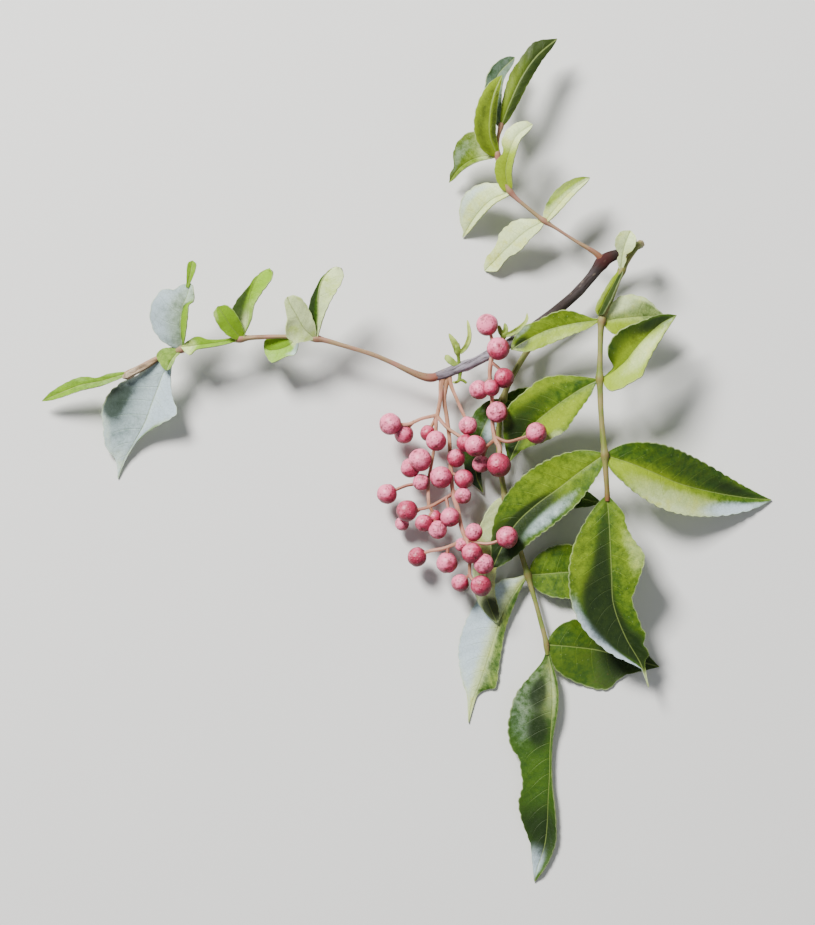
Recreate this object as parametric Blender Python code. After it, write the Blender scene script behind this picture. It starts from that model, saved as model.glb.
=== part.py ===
"""Fruiting sprig of sansho (Japanese pepper), picked and laid down on a flat surface.

A woody twig carries four compound leaves, two drooping clusters of pink berries and three
small bud shoots. Seen from above, +Y runs up the sprig and +Z points at the viewer. Every
position and size in the tables below is in millimetres; the meshes are made in metres.
"""

from dataclasses import dataclass
import math

import bpy
import numpy as np

MM = 0.001

# Driving dimensions, in millimetres.
BLADE_THICKNESS = 0.62
RIB_HALF_WIDTH = 0.32
TOOTH_DEPTH = 0.05
SCALE_THICKNESS = 0.6
STALK_RADIUS = 0.42
BRANCH_RADIUS = 0.52

# How a leaflet's surface curves: the reach of a dent along it, and how its margin lifts.
DENT_REACH = 0.09
LIFT_ALONG = 1.5
LIFT_ACROSS = 1.3

# How finely each kind of shape is divided, with the spacing of rings in millimetres.
BLADE_ROWS = 13
SMALL_BLADE_ROWS = 9
SMALL_BLADE_LENGTH = 14.0
BLADE_COLUMNS = (-1.0, -0.5, 0.0, 0.5, 1.0)
TWIG_SIDES = 10
RACHIS_SIDES = 7
STALK_SIDES = 5
TWIG_RING_SPACING = 4.0
RACHIS_RING_SPACING = 5.0
STALK_RING_SPACING = 3.2
BUD_RING_SPACING = 0.9
BERRY_SEGMENTS = 8
BERRY_RINGS = 5
CURVE_STEPS = 16

# A line that no tube runs along, from which its rings are turned.
OFF_LINE = (0.31, 0.17, 0.93)
SHARP_ANGLE = math.radians(50)


@dataclass(frozen=True)
class Half:
    """One half of a leaflet, from the midrib to the margin, as seen from above.

    width is the plan width at its widest, and widest is where that is, as a share of the
    length. A low fullness makes the outline blunt. lift is how far the margin stands over the
    midrib. dent narrows the outline by that share around dent_at.
    """

    width: float
    widest: float = 0.42
    fullness: float = 0.7
    lift: float = 0.8
    dent_at: float = 0.5
    dent: float = 0.0


@dataclass(frozen=True)
class Leaflet:
    """A leaflet: the points of its midrib, base to tip, and its halves left and right of it."""

    rib: tuple
    left: Half
    right: Half
    tail: float = 0.0


@dataclass(frozen=True)
class Leaf:
    """A compound leaf: the stalk that carries the leaflets, as x, y, z, radius, and these."""

    name: str
    colour: tuple
    rachis: tuple
    leaflets: tuple


@dataclass(frozen=True)
class Cluster:
    """A cluster of fruit: branched stalks as x, y, z, radius, and berries as x, y, z, radius."""

    name: str
    colour: tuple
    stalks: tuple
    berries: tuple


@dataclass(frozen=True)
class Shoot:
    """A bud shoot: a short stalk and body as x, y, z, radius, and the scales round them."""

    name: str
    colour: tuple
    stalks: tuple
    scales: tuple


TWIG_POINTS = (
    (51.6, 47.3, 8.4, 1.35),
    (47.2, 45.4, 8.0, 1.45),
    (42.8, 43.4, 7.6, 1.65),
    (39.9, 39.0, 7.2, 1.45),
    (36.2, 35.4, 6.9, 1.4),
    (30.4, 30.7, 6.7, 1.45),
    (25.0, 27.0, 6.7, 1.3),
    (20.5, 24.3, 6.8, 1.4),
    (15.0, 21.4, 7.0, 1.2),
    (11.4, 20.0, 7.1, 1.25),
    (7.4, 18.5, 7.3, 1.15),
)

RIGHT_LEAF = Leaf(
    name="right_leaf",
    colour=(0.36, 0.42, 0.15),
    rachis=(
        (50.4, 46.6, 11.2, 0.95),
        (47.7, 42.6, 11.7, 0.9),
        (45.9, 38.4, 12.1, 0.9),
        (44.2, 33.8, 12.4, 0.85),
        (42.7, 30.3, 12.7, 0.95),
        (42.4, 24.0, 12.9, 0.8),
        (42.3, 17.3, 13.0, 0.9),
        (42.7, 8.5, 12.9, 0.8),
        (43.4, 0.8, 12.6, 0.9),
        (44.0, -9.2, 12.2, 0.65),
    ),
    leaflets=(
        Leaflet(
            rib=((46.9, 41.2, 12.2), (47.3, 45.0, 13.4), (48.0, 47.6, 14.0), (49.0, 50.0, 13.6)),
            left=Half(2.1, widest=0.72, fullness=1.5, lift=0.6, dent_at=0.4, dent=0.7),
            right=Half(1.9, widest=0.72, fullness=1.5, lift=0.9, dent_at=0.4, dent=0.7),
        ),
        Leaflet(
            rib=((47.0, 41.6, 12.2), (44.7, 37.5, 13.2), (43.3, 34.4, 13.4), (41.9, 31.5, 13.0)),
            left=Half(0.8, lift=1.2),
            right=Half(1.7, widest=0.5, lift=1.6),
        ),
        Leaflet(
            rib=(
                (42.2, 30.5, 12.6), (37.0, 29.8, 12.0), (31.0, 28.4, 10.8), (26.0, 26.0, 9.9),
                (22.9, 24.0, 9.6),
            ),
            left=Half(2.7, widest=0.45, lift=0.5),
            right=Half(3.5, widest=0.4, lift=0.9),
        ),
        Leaflet(
            rib=((43.0, 30.2, 12.6), (47.0, 30.9, 12.0), (52.0, 31.3, 11.0), (56.9, 31.2, 9.8)),
            left=Half(4.6, widest=0.44, fullness=0.5, lift=0.4),
            right=Half(3.6, widest=0.42, fullness=0.5, lift=0.2),
        ),
        Leaflet(
            rib=(
                (42.0, 17.3, 13.0), (38.0, 15.3, 12.6), (33.0, 11.9, 11.0), (28.6, 8.4, 9.0),
                (25.0, 4.6, 7.6), (22.4, -0.8, 6.8),
            ),
            left=Half(4.3, widest=0.52, fullness=0.6, lift=0.6),
            right=Half(5.6, widest=0.5, fullness=0.75, lift=0.4),
        ),
        Leaflet(
            rib=(
                (42.6, 17.3, 13.0), (46.0, 19.2, 14.0), (50.5, 23.6, 14.8), (54.8, 28.4, 14.8),
                (59.3, 31.6, 14.0),
            ),
            left=Half(4.7, widest=0.44, fullness=0.6, lift=2.2),
            right=Half(3.3, widest=0.32, fullness=0.45, lift=2.6),
        ),
        Leaflet(
            rib=(
                (43.2, 0.9, 12.5), (38.2, -2.6, 11.6), (33.5, -6.3, 9.8), (28.5, -10.0, 8.0),
                (24.2, -14.0, 6.7), (21.3, -18.6, 5.9), (18.9, -23.9, 5.4),
            ),
            left=Half(5.6, widest=0.52, fullness=0.7, lift=0.9),
            right=Half(6.7, widest=0.42, fullness=0.8, lift=0.6),
        ),
        Leaflet(
            rib=(
                (43.6, 0.8, 12.5), (49.0, -0.9, 11.8), (54.0, -2.9, 10.2), (60.0, -5.4, 7.4),
                (67.0, -7.2, 4.0), (74.0, -8.4, 1.4), (80.5, -9.0, 0.31),
            ),
            left=Half(6.6, widest=0.38, fullness=0.75, lift=1.8),
            right=Half(6.3, widest=0.43, fullness=0.65, lift=1.2),
        ),
        Leaflet(
            rib=(
                (43.9, -8.0, 12.2), (44.4, -15.0, 11.9), (44.9, -25.0, 10.6),
                (45.4, -32.0, 9.2), (48.0, -39.0, 7.8), (51.4, -45.0, 6.8), (53.2, -50.3, 6.2),
            ),
            left=Half(7.2, widest=0.45, fullness=1.0, lift=1.4, dent_at=0.54, dent=0.38),
            right=Half(9.3, widest=0.46, fullness=0.9, lift=1.6),
            tail=0.1,
        ),
    ),
)

LOWER_LEAF = Leaf(
    name="lower_leaf",
    colour=(0.42, 0.48, 0.24),
    rachis=(
        (29.4, 27.5, 4.6, 0.95),
        (26.4, 23.6, 5.1, 0.9),
        (24.0, 19.7, 5.4, 0.85),
        (22.3, 16.3, 5.4, 0.85),
        (21.1, 12.8, 5.2, 0.9),
        (20.4, 8.0, 5.0, 0.8),
        (20.3, 2.0, 4.6, 0.8),
        (20.9, -4.0, 4.1, 0.8),
        (21.8, -9.0, 3.7, 0.85),
        (23.4, -15.0, 3.4, 0.75),
        (25.2, -21.0, 3.2, 0.75),
        (26.7, -25.8, 3.1, 0.8),
        (28.6, -32.5, 3.0, 0.65),
        (30.5, -39.6, 2.9, 0.7),
        (31.0, -43.2, 2.8, 0.5),
    ),
    leaflets=(
        Leaflet(
            rib=(
                (20.9, 13.0, 5.0), (17.9, 9.0, 3.6), (15.6, 3.0, 2.2), (15.2, -3.0, 1.4),
                (16.8, -7.4, 1.0),
            ),
            left=Half(2.4, widest=0.35),
            right=Half(3.4, widest=0.4),
        ),
        Leaflet(
            rib=((21.2, 13.0, 5.0), (26.0, 12.4, 3.6), (31.0, 12.4, 2.6), (35.5, 13.0, 2.0)),
            left=Half(3.2),
            right=Half(3.2),
        ),
        Leaflet(
            rib=(
                (21.7, -8.6, 3.6), (19.6, -14.0, 3.0), (18.0, -22.0, 2.4), (17.4, -29.5, 2.2),
                (19.8, -36.2, 2.0),
            ),
            left=Half(1.8, widest=0.6, fullness=0.5),
            right=Half(3.0, widest=0.4, fullness=0.5),
        ),
        Leaflet(
            rib=((21.9, -8.6, 3.6), (28.0, -7.4, 3.2), (36.0, -8.2, 2.6), (42.9, -9.7, 2.0)),
            left=Half(3.2, lift=0.4),
            right=Half(3.2, lift=0.4),
        ),
        Leaflet(
            rib=(
                (26.4, -25.7, 3.0), (21.8, -31.5, 1.6), (18.0, -40.0, 0.5), (15.9, -48.0, 0.31),
                (14.3, -53.0, 0.31), (13.6, -58.3, 0.31),
            ),
            left=Half(3.6, widest=0.68, fullness=1.4, lift=0.3),
            right=Half(6.5, widest=0.47, fullness=0.7, lift=0.2),
            tail=0.12,
        ),
        Leaflet(
            rib=((26.9, -25.6, 3.0), (31.0, -25.3, 2.8), (37.0, -25.0, 2.4), (48.0, -25.8, 1.4)),
            left=Half(6.0, widest=0.4, fullness=0.6, lift=0.3),
            right=Half(5.6, widest=0.4, fullness=0.6, lift=0.3),
        ),
        Leaflet(
            rib=(
                (30.9, -41.0, 2.8), (36.0, -41.4, 2.0), (42.0, -42.2, 0.31),
                (48.0, -43.8, 0.31), (55.7, -45.9, 0.31),
            ),
            left=Half(6.5, widest=0.36, fullness=0.65, lift=0.0),
            right=Half(8.5, widest=0.42, fullness=0.7, lift=0.0),
        ),
        Leaflet(
            rib=(
                (30.9, -42.0, 2.8), (31.1, -50.0, 2.5), (31.4, -58.0, 2.1), (31.2, -67.0, 1.7),
                (31.0, -76.0, 1.2), (30.4, -85.0, 0.6), (28.3, -93.3, 0.31),
            ),
            left=Half(1.2, widest=0.5, fullness=0.4, lift=0.8),
            right=Half(9.2, widest=0.36, fullness=0.75, lift=0.8, dent_at=0.54, dent=0.3),
        ),
    ),
)

UPPER_LEAF = Leaf(
    name="upper_leaf",
    colour=(0.52, 0.55, 0.33),
    rachis=(
        (41.2, 45.5, 8.3, 0.75),
        (37.0, 48.0, 8.6, 0.45),
        (33.0, 50.6, 9.0, 0.45),
        (30.3, 52.3, 9.2, 0.6),
        (26.5, 55.2, 9.7, 0.5),
        (22.8, 58.6, 10.2, 0.65),
        (21.0, 62.2, 10.7, 0.55),
        (19.9, 66.5, 11.1, 0.65),
        (19.9, 70.0, 11.3, 0.5),
        (20.8, 73.8, 11.5, 0.55),
    ),
    leaflets=(
        Leaflet(
            rib=(
                (30.2, 52.4, 9.1), (25.9, 49.9, 7.4), (22.2, 46.6, 5.0), (19.2, 43.6, 1.7),
                (17.2, 41.6, 0.31),
            ),
            left=Half(1.2, widest=0.66, fullness=0.6),
            right=Half(2.8, widest=0.4, fullness=0.6),
        ),
        Leaflet(
            rib=((30.4, 52.2, 9.2), (33.0, 55.5, 10.4), (36.3, 59.0, 11.0), (40.2, 61.8, 10.4)),
            left=Half(2.3, widest=0.46, lift=1.0),
            right=Half(0.8, lift=2.4),
        ),
        Leaflet(
            rib=((22.8, 58.7, 10.1), (18.6, 57.0, 8.2), (15.2, 53.6, 4.2), (12.3, 49.0, 0.31)),
            left=Half(0.9, lift=2.0),
            right=Half(3.6, widest=0.42, fullness=0.6),
        ),
        Leaflet(
            rib=(
                (22.4, 58.9, 10.2), (21.7, 63.0, 12.0), (22.4, 67.0, 13.4), (24.0, 70.8, 13.8),
                (27.5, 73.4, 13.2),
            ),
            left=Half(2.4, widest=0.5, fullness=0.4, lift=0.7, dent_at=0.5, dent=0.55),
            right=Half(1.1, widest=0.45, fullness=0.4, lift=1.2),
        ),
        Leaflet(
            rib=((19.9, 66.8, 11.0), (15.4, 66.2, 9.0), (11.8, 64.2, 6.0), (9.3, 61.0, 3.4)),
            left=Half(0.6, lift=1.6),
            right=Half(5.6, widest=0.32, fullness=0.8, lift=1.4, dent_at=0.76, dent=0.6),
        ),
        Leaflet(
            rib=(
                (19.8, 66.6, 11.2), (18.1, 71.0, 13.6), (18.2, 76.0, 14.6), (19.2, 80.4, 14.4),
                (20.8, 84.1, 13.4),
            ),
            left=Half(3.1, widest=0.42, fullness=0.6, lift=1.6),
            right=Half(1.2, lift=1.4),
        ),
        Leaflet(
            rib=((20.5, 72.8, 11.4), (19.2, 78.0, 10.0), (19.8, 84.0, 8.6), (23.7, 88.4, 7.0)),
            left=Half(1.9, widest=0.62, fullness=0.8),
            right=Half(1.4, widest=0.5),
        ),
        Leaflet(
            rib=(
                (20.6, 73.0, 11.5), (22.7, 78.5, 12.3), (25.3, 84.0, 12.0), (28.6, 88.6, 10.8),
                (33.0, 92.4, 9.0),
            ),
            left=Half(2.3, widest=0.45, lift=0.8),
            right=Half(1.7, widest=0.45, lift=1.2),
        ),
    ),
)

LEFT_LEAF = Leaf(
    name="left_leaf",
    colour=(0.55, 0.60, 0.45),
    rachis=(
        (5.6, 17.9, 7.6, 1.15),
        (3.6, 18.2, 7.9, 1.15),
        (0.0, 19.6, 8.4, 0.85),
        (-4.0, 21.5, 8.9, 0.7),
        (-8.0, 23.1, 9.4, 0.65),
        (-14.0, 24.9, 9.9, 0.65),
        (-20.2, 26.5, 10.2, 0.8),
        (-28.0, 26.9, 10.3, 0.6),
        (-36.2, 26.5, 10.2, 0.75),
        (-43.4, 25.3, 9.8, 0.6),
        (-50.0, 24.1, 9.4, 0.8),
        (-55.5, 21.9, 9.0, 0.65),
        (-62.0, 18.5, 8.4, 0.7),
    ),
    leaflets=(
        Leaflet(
            rib=(
                (-20.1, 26.5, 10.4), (-19.2, 31.5, 13.4), (-17.8, 36.8, 15.8),
                (-14.6, 41.3, 17.0),
            ),
            left=Half(2.4, widest=0.46, fullness=0.8, lift=-1.4),
            right=Half(1.2, widest=0.66, fullness=0.45, lift=1.8),
        ),
        Leaflet(
            rib=(
                (-20.4, 26.6, 10.6), (-23.2, 29.8, 13.4), (-24.6, 32.8, 15.0),
                (-25.6, 35.7, 15.8),
            ),
            left=Half(2.9, widest=0.34, fullness=0.6, lift=1.0),
            right=Half(2.4, widest=0.58, fullness=0.5, lift=0.8),
        ),
        Leaflet(
            rib=((-24.2, 26.8, 10.3), (-26.4, 24.7, 9.4), (-28.9, 23.9, 8.4), (-31.4, 24.4, 7.4)),
            left=Half(2.1, widest=0.5, fullness=0.45, lift=0.6),
            right=Half(1.6, widest=0.56, fullness=0.5, lift=0.4),
        ),
        Leaflet(
            rib=(
                (-36.2, 26.6, 10.4), (-35.1, 31.8, 13.2), (-33.5, 37.0, 15.6),
                (-30.1, 41.0, 16.8),
            ),
            left=Half(3.4, widest=0.32, fullness=1.2, lift=-2.2),
            right=Half(0.8, widest=0.6, fullness=0.5, lift=2.2),
        ),
        Leaflet(
            rib=(
                (-36.5, 26.6, 10.6), (-38.7, 29.2, 12.6), (-40.1, 31.4, 13.8),
                (-41.5, 33.4, 14.4),
            ),
            left=Half(1.9, widest=0.6, fullness=0.5),
            right=Half(2.2, widest=0.55, fullness=0.5),
        ),
        Leaflet(
            rib=(
                (-37.0, 26.4, 10.4), (-41.5, 26.0, 11.2), (-45.0, 25.9, 11.2),
                (-48.6, 25.4, 10.6),
            ),
            left=Half(0.8, widest=0.6, lift=1.8),
            right=Half(0.9, widest=0.7, lift=1.4),
        ),
        Leaflet(
            rib=((-49.8, 24.2, 9.6), (-49.6, 29.0, 12.4), (-48.9, 34.0, 14.8), (-47.5, 39.0, 16.0)),
            left=Half(6.7, widest=0.46, fullness=0.5, lift=0.8),
            right=Half(1.0, widest=0.6, fullness=0.5, lift=2.0),
        ),
        Leaflet(
            rib=((-48.1, 37.6, 16.0), (-47.4, 40.6, 17.0), (-46.9, 43.4, 17.2)),
            left=Half(0.7, widest=0.78, fullness=1.5, lift=0.2),
            right=Half(0.7, widest=0.78, fullness=1.5, lift=0.4),
        ),
        Leaflet(
            rib=(
                (-50.0, 24.1, 9.3), (-53.5, 19.9, 8.2), (-55.9, 13.4, 6.2), (-58.6, 7.2, 3.8),
                (-62.2, 0.4, 1.3), (-63.8, -4.2, 0.31),
            ),
            left=Half(6.0, widest=0.46, fullness=2.8, lift=1.2, dent_at=0.66, dent=0.5),
            right=Half(9.9, widest=0.6, fullness=1.5, lift=0.7),
            tail=0.1,
        ),
        Leaflet(
            rib=((-49.8, 24.2, 9.6), (-52.2, 22.6, 10.2), (-54.4, 21.4, 10.4)),
            left=Half(1.5, widest=0.6, fullness=0.6, lift=0.3),
            right=Half(1.7, widest=0.6, fullness=0.6, lift=0.3),
        ),
        Leaflet(
            rib=(
                (-61.0, 19.0, 8.5), (-67.0, 17.2, 8.2), (-72.0, 16.2, 7.2), (-76.5, 14.5, 5.4),
                (-80.5, 12.8, 3.4),
            ),
            left=Half(0.7, widest=0.55, fullness=1.0, lift=2.6),
            right=Half(1.7, widest=0.52, fullness=1.1, lift=2.2, dent_at=0.34, dent=0.5),
        ),
    ),
)

MAIN_CLUSTER = Cluster(
    name="berry_cluster_main",
    colour=(0.80, 0.42, 0.40),
    stalks=(
        ((7.2, 16.2, 7.2, 0.7), (8.4, 16.0, 7.0, 0.85), (9.8, 16.0, 7.2, 0.55)),
        ((7.5, 16.4, 7.2, 0.6), (7.3, 13.0, 7.4, BRANCH_RADIUS), (6.6, 9.2, 7.7, BRANCH_RADIUS)),
        (
            (6.6, 9.6, 7.7, 0.5), (3.3, 8.9, 7.8, STALK_RADIUS), (0.4, 7.7, 7.3, STALK_RADIUS),
            (-3.0, 7.7, 7.6, STALK_RADIUS),
        ),
        (
            (1.6, 8.3, 7.5, STALK_RADIUS), (0.2, 6.8, 6.6, STALK_RADIUS),
            (-0.7, 5.5, 6.0, STALK_RADIUS),
        ),
        (
            (6.5, 9.6, 7.7, 0.5), (8.5, 7.2, 8.2, STALK_RADIUS), (10.5, 5.7, 8.8, STALK_RADIUS),
            (13.4, 4.0, 9.6, STALK_RADIUS),
        ),
        (
            (12.4, 4.6, 9.4, STALK_RADIUS), (14.0, 3.8, 10.4, STALK_RADIUS),
            (15.0, 2.9, 11.0, STALK_RADIUS),
        ),
        ((6.6, 9.6, 7.7, 0.5), (6.3, 7.0, 8.0, STALK_RADIUS), (6.4, 4.2, 8.8, STALK_RADIUS)),
        ((6.6, 9.4, 7.6, 0.5), (5.6, 7.6, 7.0, STALK_RADIUS), (4.6, 5.7, 6.5, STALK_RADIUS)),
        (
            (6.4, 8.2, 7.8, 0.5), (6.3, 4.8, 6.2, STALK_RADIUS), (5.6, 0.0, 5.6, STALK_RADIUS),
            (4.7, -5.2, 5.8, STALK_RADIUS), (4.8, -10.4, 6.4, STALK_RADIUS),
        ),
        (
            (8.7, 16.2, 7.0, 0.6), (8.2, 13.0, 6.4, BRANCH_RADIUS),
            (8.7, 9.5, 5.9, BRANCH_RADIUS), (9.3, 5.0, 5.9, BRANCH_RADIUS),
            (9.5, 0.0, 6.3, BRANCH_RADIUS), (10.1, -7.3, 7.1, BRANCH_RADIUS),
            (11.2, -11.2, 7.5, BRANCH_RADIUS), (12.1, -15.4, 7.9, BRANCH_RADIUS),
            (13.0, -17.8, 8.2, BRANCH_RADIUS),
        ),
        ((9.6, 16.2, 7.2, 0.5), (11.2, 12.6, 7.8, STALK_RADIUS), (13.2, 8.2, 8.4, STALK_RADIUS)),
        (
            (7.8, -3.9, 7.2, STALK_RADIUS), (9.8, -3.2, 6.6, STALK_RADIUS),
            (12.0, -4.2, 7.0, STALK_RADIUS),
        ),
        ((10.0, -7.0, 7.1, STALK_RADIUS), (12.0, -8.0, 7.2, STALK_RADIUS)),
        (
            (5.0, -3.9, 5.8, STALK_RADIUS), (1.8, -5.4, 5.6, STALK_RADIUS),
            (-0.4, -5.9, 5.4, STALK_RADIUS), (-3.9, -7.4, 5.4, STALK_RADIUS),
        ),
        (
            (10.3, -7.4, 7.1, STALK_RADIUS), (7.5, -9.2, 6.9, STALK_RADIUS),
            (4.6, -10.6, 6.5, STALK_RADIUS), (0.6, -11.4, 6.4, STALK_RADIUS),
        ),
        (
            (2.6, -11.2, 6.4, STALK_RADIUS), (0.6, -12.8, 5.0, STALK_RADIUS),
            (-0.8, -14.0, 3.8, STALK_RADIUS),
        ),
        (
            (5.0, -10.4, 6.5, STALK_RADIUS), (5.8, -12.2, 6.6, STALK_RADIUS),
            (6.6, -15.2, 7.4, STALK_RADIUS),
        ),
        (
            (5.6, -11.8, 6.6, STALK_RADIUS), (4.6, -13.0, 6.8, STALK_RADIUS),
            (3.8, -14.0, 7.0, STALK_RADIUS),
        ),
        (
            (8.6, -8.6, 7.0, STALK_RADIUS), (9.0, -10.4, 7.6, STALK_RADIUS),
            (9.4, -12.4, 8.2, STALK_RADIUS),
        ),
        ((12.4, -16.6, 8.0, STALK_RADIUS), (14.6, -16.4, 8.3, STALK_RADIUS)),
        (
            (12.6, -17.4, 8.1, 0.5), (16.1, -18.5, 8.8, STALK_RADIUS),
            (18.6, -18.5, 9.4, STALK_RADIUS), (21.6, -17.3, 9.9, STALK_RADIUS),
        ),
        (
            (13.2, -17.6, 8.1, 0.5), (8.4, -19.6, 7.2, STALK_RADIUS),
            (5.0, -20.3, 6.4, STALK_RADIUS), (2.6, -21.3, 5.7, STALK_RADIUS),
        ),
        (
            (9.0, -19.3, 7.3, STALK_RADIUS), (8.9, -21.0, 7.0, STALK_RADIUS),
            (8.8, -22.6, 6.6, STALK_RADIUS),
        ),
        (
            (12.8, -17.2, 8.1, 0.5), (14.0, -20.4, 8.6, STALK_RADIUS),
            (13.8, -23.4, 7.6, STALK_RADIUS), (14.0, -26.0, 7.3, STALK_RADIUS),
            (16.0, -27.7, 7.8, STALK_RADIUS),
        ),
        ((14.0, -20.6, 8.5, STALK_RADIUS), (16.6, -22.8, 8.4, STALK_RADIUS)),
        ((13.9, -25.4, 7.3, STALK_RADIUS), (12.0, -27.0, 6.7, STALK_RADIUS)),
    ),
    berries=(
        (-3.7, 7.7, 7.8, 2.5),
        (-0.7, 5.5, 5.9, 2.2),
        (4.6, 5.7, 6.4, 1.8),
        (6.4, 4.0, 9.2, 2.3),
        (10.8, 0.2, 6.9, 2.1),
        (13.4, 7.3, 8.6, 2.1),
        (15.0, 2.9, 11.0, 2.4),
        (12.8, 3.5, 9.3, 2.0),
        (2.9, -0.2, 7.6, 2.6),
        (0.7, -2.0, 6.0, 2.2),
        (3.1, -5.1, 6.4, 1.9),
        (7.5, -4.0, 8.1, 2.5),
        (12.5, -4.4, 7.2, 2.2),
        (12.3, -8.1, 7.3, 1.9),
        (-4.4, -7.7, 5.4, 2.3),
        (0.0, -11.4, 6.4, 2.45),
        (-1.1, -14.3, 3.4, 1.6),
        (3.7, -14.1, 7.2, 2.0),
        (6.8, -15.6, 7.8, 2.1),
        (9.5, -12.8, 8.6, 2.2),
        (6.2, -12.8, 5.8, 1.6),
        (14.7, -16.1, 8.5, 2.0),
        (22.0, -17.2, 10.0, 2.5),
        (2.2, -21.6, 5.5, 2.2),
        (8.8, -22.9, 6.4, 2.4),
        (14.3, -20.7, 9.0, 2.4),
        (16.9, -23.1, 8.6, 2.3),
        (11.7, -27.3, 6.4, 2.0),
        (16.3, -27.9, 8.0, 2.4),
        (12.1, -18.9, 7.2, 1.6),
    ),
)

SIDE_CLUSTER = Cluster(
    name="berry_cluster_side",
    colour=(0.80, 0.45, 0.42),
    stalks=(
        (
            (19.0, 23.8, 9.4, 0.7), (18.4, 21.0, 9.7, 0.6), (18.2, 18.0, 9.3, BRANCH_RADIUS),
            (18.6, 14.6, 9.0, BRANCH_RADIUS), (18.8, 11.0, 8.9, BRANCH_RADIUS),
            (18.8, 7.5, 8.8, BRANCH_RADIUS), (19.3, 4.6, 9.0, 0.6), (20.3, 2.4, 9.4, 0.65),
            (20.2, -0.8, 9.8, 0.6),
        ),
        (
            (19.0, 23.4, 9.5, BRANCH_RADIUS), (18.6, 26.6, 9.8, STALK_RADIUS),
            (17.8, 29.0, 10.0, STALK_RADIUS),
        ),
        ((18.7, 22.2, 9.6, BRANCH_RADIUS), (19.8, 23.6, 11.4, BRANCH_RADIUS)),
        (
            (18.4, 21.4, 9.7, STALK_RADIUS), (20.2, 19.9, 10.0, STALK_RADIUS),
            (21.2, 18.2, 10.4, STALK_RADIUS),
        ),
        ((18.2, 17.6, 9.3, STALK_RADIUS), (16.2, 15.6, 9.4, STALK_RADIUS)),
        (
            (19.2, 4.9, 9.0, STALK_RADIUS), (22.0, 3.8, 9.9, STALK_RADIUS),
            (25.0, 4.5, 11.3, STALK_RADIUS), (28.2, 5.6, 12.2, STALK_RADIUS),
        ),
        (
            (19.4, 4.4, 9.0, STALK_RADIUS), (17.4, 2.4, 8.2, STALK_RADIUS),
            (16.4, -0.6, 7.4, STALK_RADIUS),
        ),
    ),
    berries=(
        (17.6, 29.5, 10.1, 2.5),
        (20.0, 24.2, 12.3, 2.6),
        (21.3, 17.8, 10.6, 2.3),
        (15.8, 15.2, 9.4, 2.2),
        (18.5, 15.6, 11.1, 1.9),
        (19.8, 10.3, 10.5, 2.4),
        (28.4, 5.7, 12.4, 2.4),
        (20.2, -1.3, 10.2, 2.75),
        (16.3, -1.1, 7.2, 2.0),
    ),
)

BUD_SHOOT_LEFT = Shoot(
    name="bud_shoot_left",
    colour=(0.55, 0.62, 0.30),
    stalks=(
        (
            (11.4, 21.7, 7.6, 0.55), (11.4, 22.8, 7.8, 0.8), (11.1, 24.1, 8.0, 1.15),
            (10.9, 25.4, 8.1, 0.7),
        ),
    ),
    scales=(
        Leaflet(
            rib=((11.1, 24.2, 8.2), (10.3, 25.9, 8.6), (9.3, 27.5, 8.4)),
            left=Half(0.4, lift=0.1),
            right=Half(0.6, lift=0.1),
        ),
        Leaflet(
            rib=(
                (11.3, 23.5, 8.2), (13.3, 24.8, 8.6), (13.9, 26.8, 8.8), (13.4, 28.6, 8.6),
                (13.3, 30.7, 8.2),
            ),
            left=Half(0.15, lift=0.0),
            right=Half(0.15, lift=0.0),
        ),
        Leaflet(
            rib=((11.4, 22.2, 7.6), (9.7, 22.0, 7.2), (8.5, 22.9, 6.8)),
            left=Half(0.5, widest=0.6, lift=0.1),
            right=Half(0.4, widest=0.6, lift=0.1),
        ),
    ),
)

BUD_SHOOT_RIGHT = Shoot(
    name="bud_shoot_right",
    colour=(0.60, 0.64, 0.36),
    stalks=(
        ((21.2, 26.6, 8.2, 0.6), (21.3, 27.3, 8.2, 0.85), (21.2, 28.0, 8.2, 0.5)),
    ),
    scales=(
        Leaflet(
            rib=((21.2, 27.2, 8.4), (21.5, 28.6, 8.6), (21.3, 29.9, 8.4)),
            left=Half(0.3, lift=0.1),
            right=Half(0.3, lift=0.1),
        ),
        Leaflet(
            rib=(
                (21.3, 27.1, 8.5), (23.3, 27.8, 8.9), (25.2, 29.2, 9.0), (26.3, 30.6, 8.8),
                (26.4, 32.1, 8.4),
            ),
            left=Half(0.2, lift=0.0),
            right=Half(0.2, lift=0.0),
        ),
    ),
)

BUD_SHOOT_UNDER = Shoot(
    name="bud_shoot_under",
    colour=(0.62, 0.64, 0.50),
    stalks=(
        (
            (11.8, 18.2, 7.2, 0.35), (11.5, 17.5, 7.2, 0.4), (10.9, 16.9, 7.4, 0.35),
            (10.3, 16.9, 8.6, 0.3),
        ),
        ((11.4, 17.5, 7.2, 0.35), (12.3, 17.3, 7.2, 0.35), (13.1, 16.7, 7.2, 0.3)),
    ),
    scales=(),
)


def points_along(points, count):
    """Evenly spaced points of the smooth curve through the given ones, with what they carry."""
    knots = np.array(points, float)
    padded = np.vstack([2 * knots[0] - knots[1], knots, 2 * knots[-1] - knots[-2]])
    fine = [knots[0]]
    for a, b, c, d in zip(padded, padded[1:], padded[2:], padded[3:]):
        for step in range(1, CURVE_STEPS + 1):
            u = step / CURVE_STEPS
            bend = (2 * a - 5 * b + 4 * c - d) * u**2 + (3 * b - a - 3 * c + d) * u**3
            fine.append(0.5 * (2 * b + (c - a) * u + bend))
    fine = np.array(fine)
    steps = np.linalg.norm(np.diff(fine[:, :3], axis=0), axis=1)
    travelled = np.concatenate([[0.0], np.cumsum(steps)]) / steps.sum()
    wanted = np.linspace(0.0, 1.0, count)
    return np.column_stack([np.interp(wanted, travelled, column) for column in fine.T])


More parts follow.
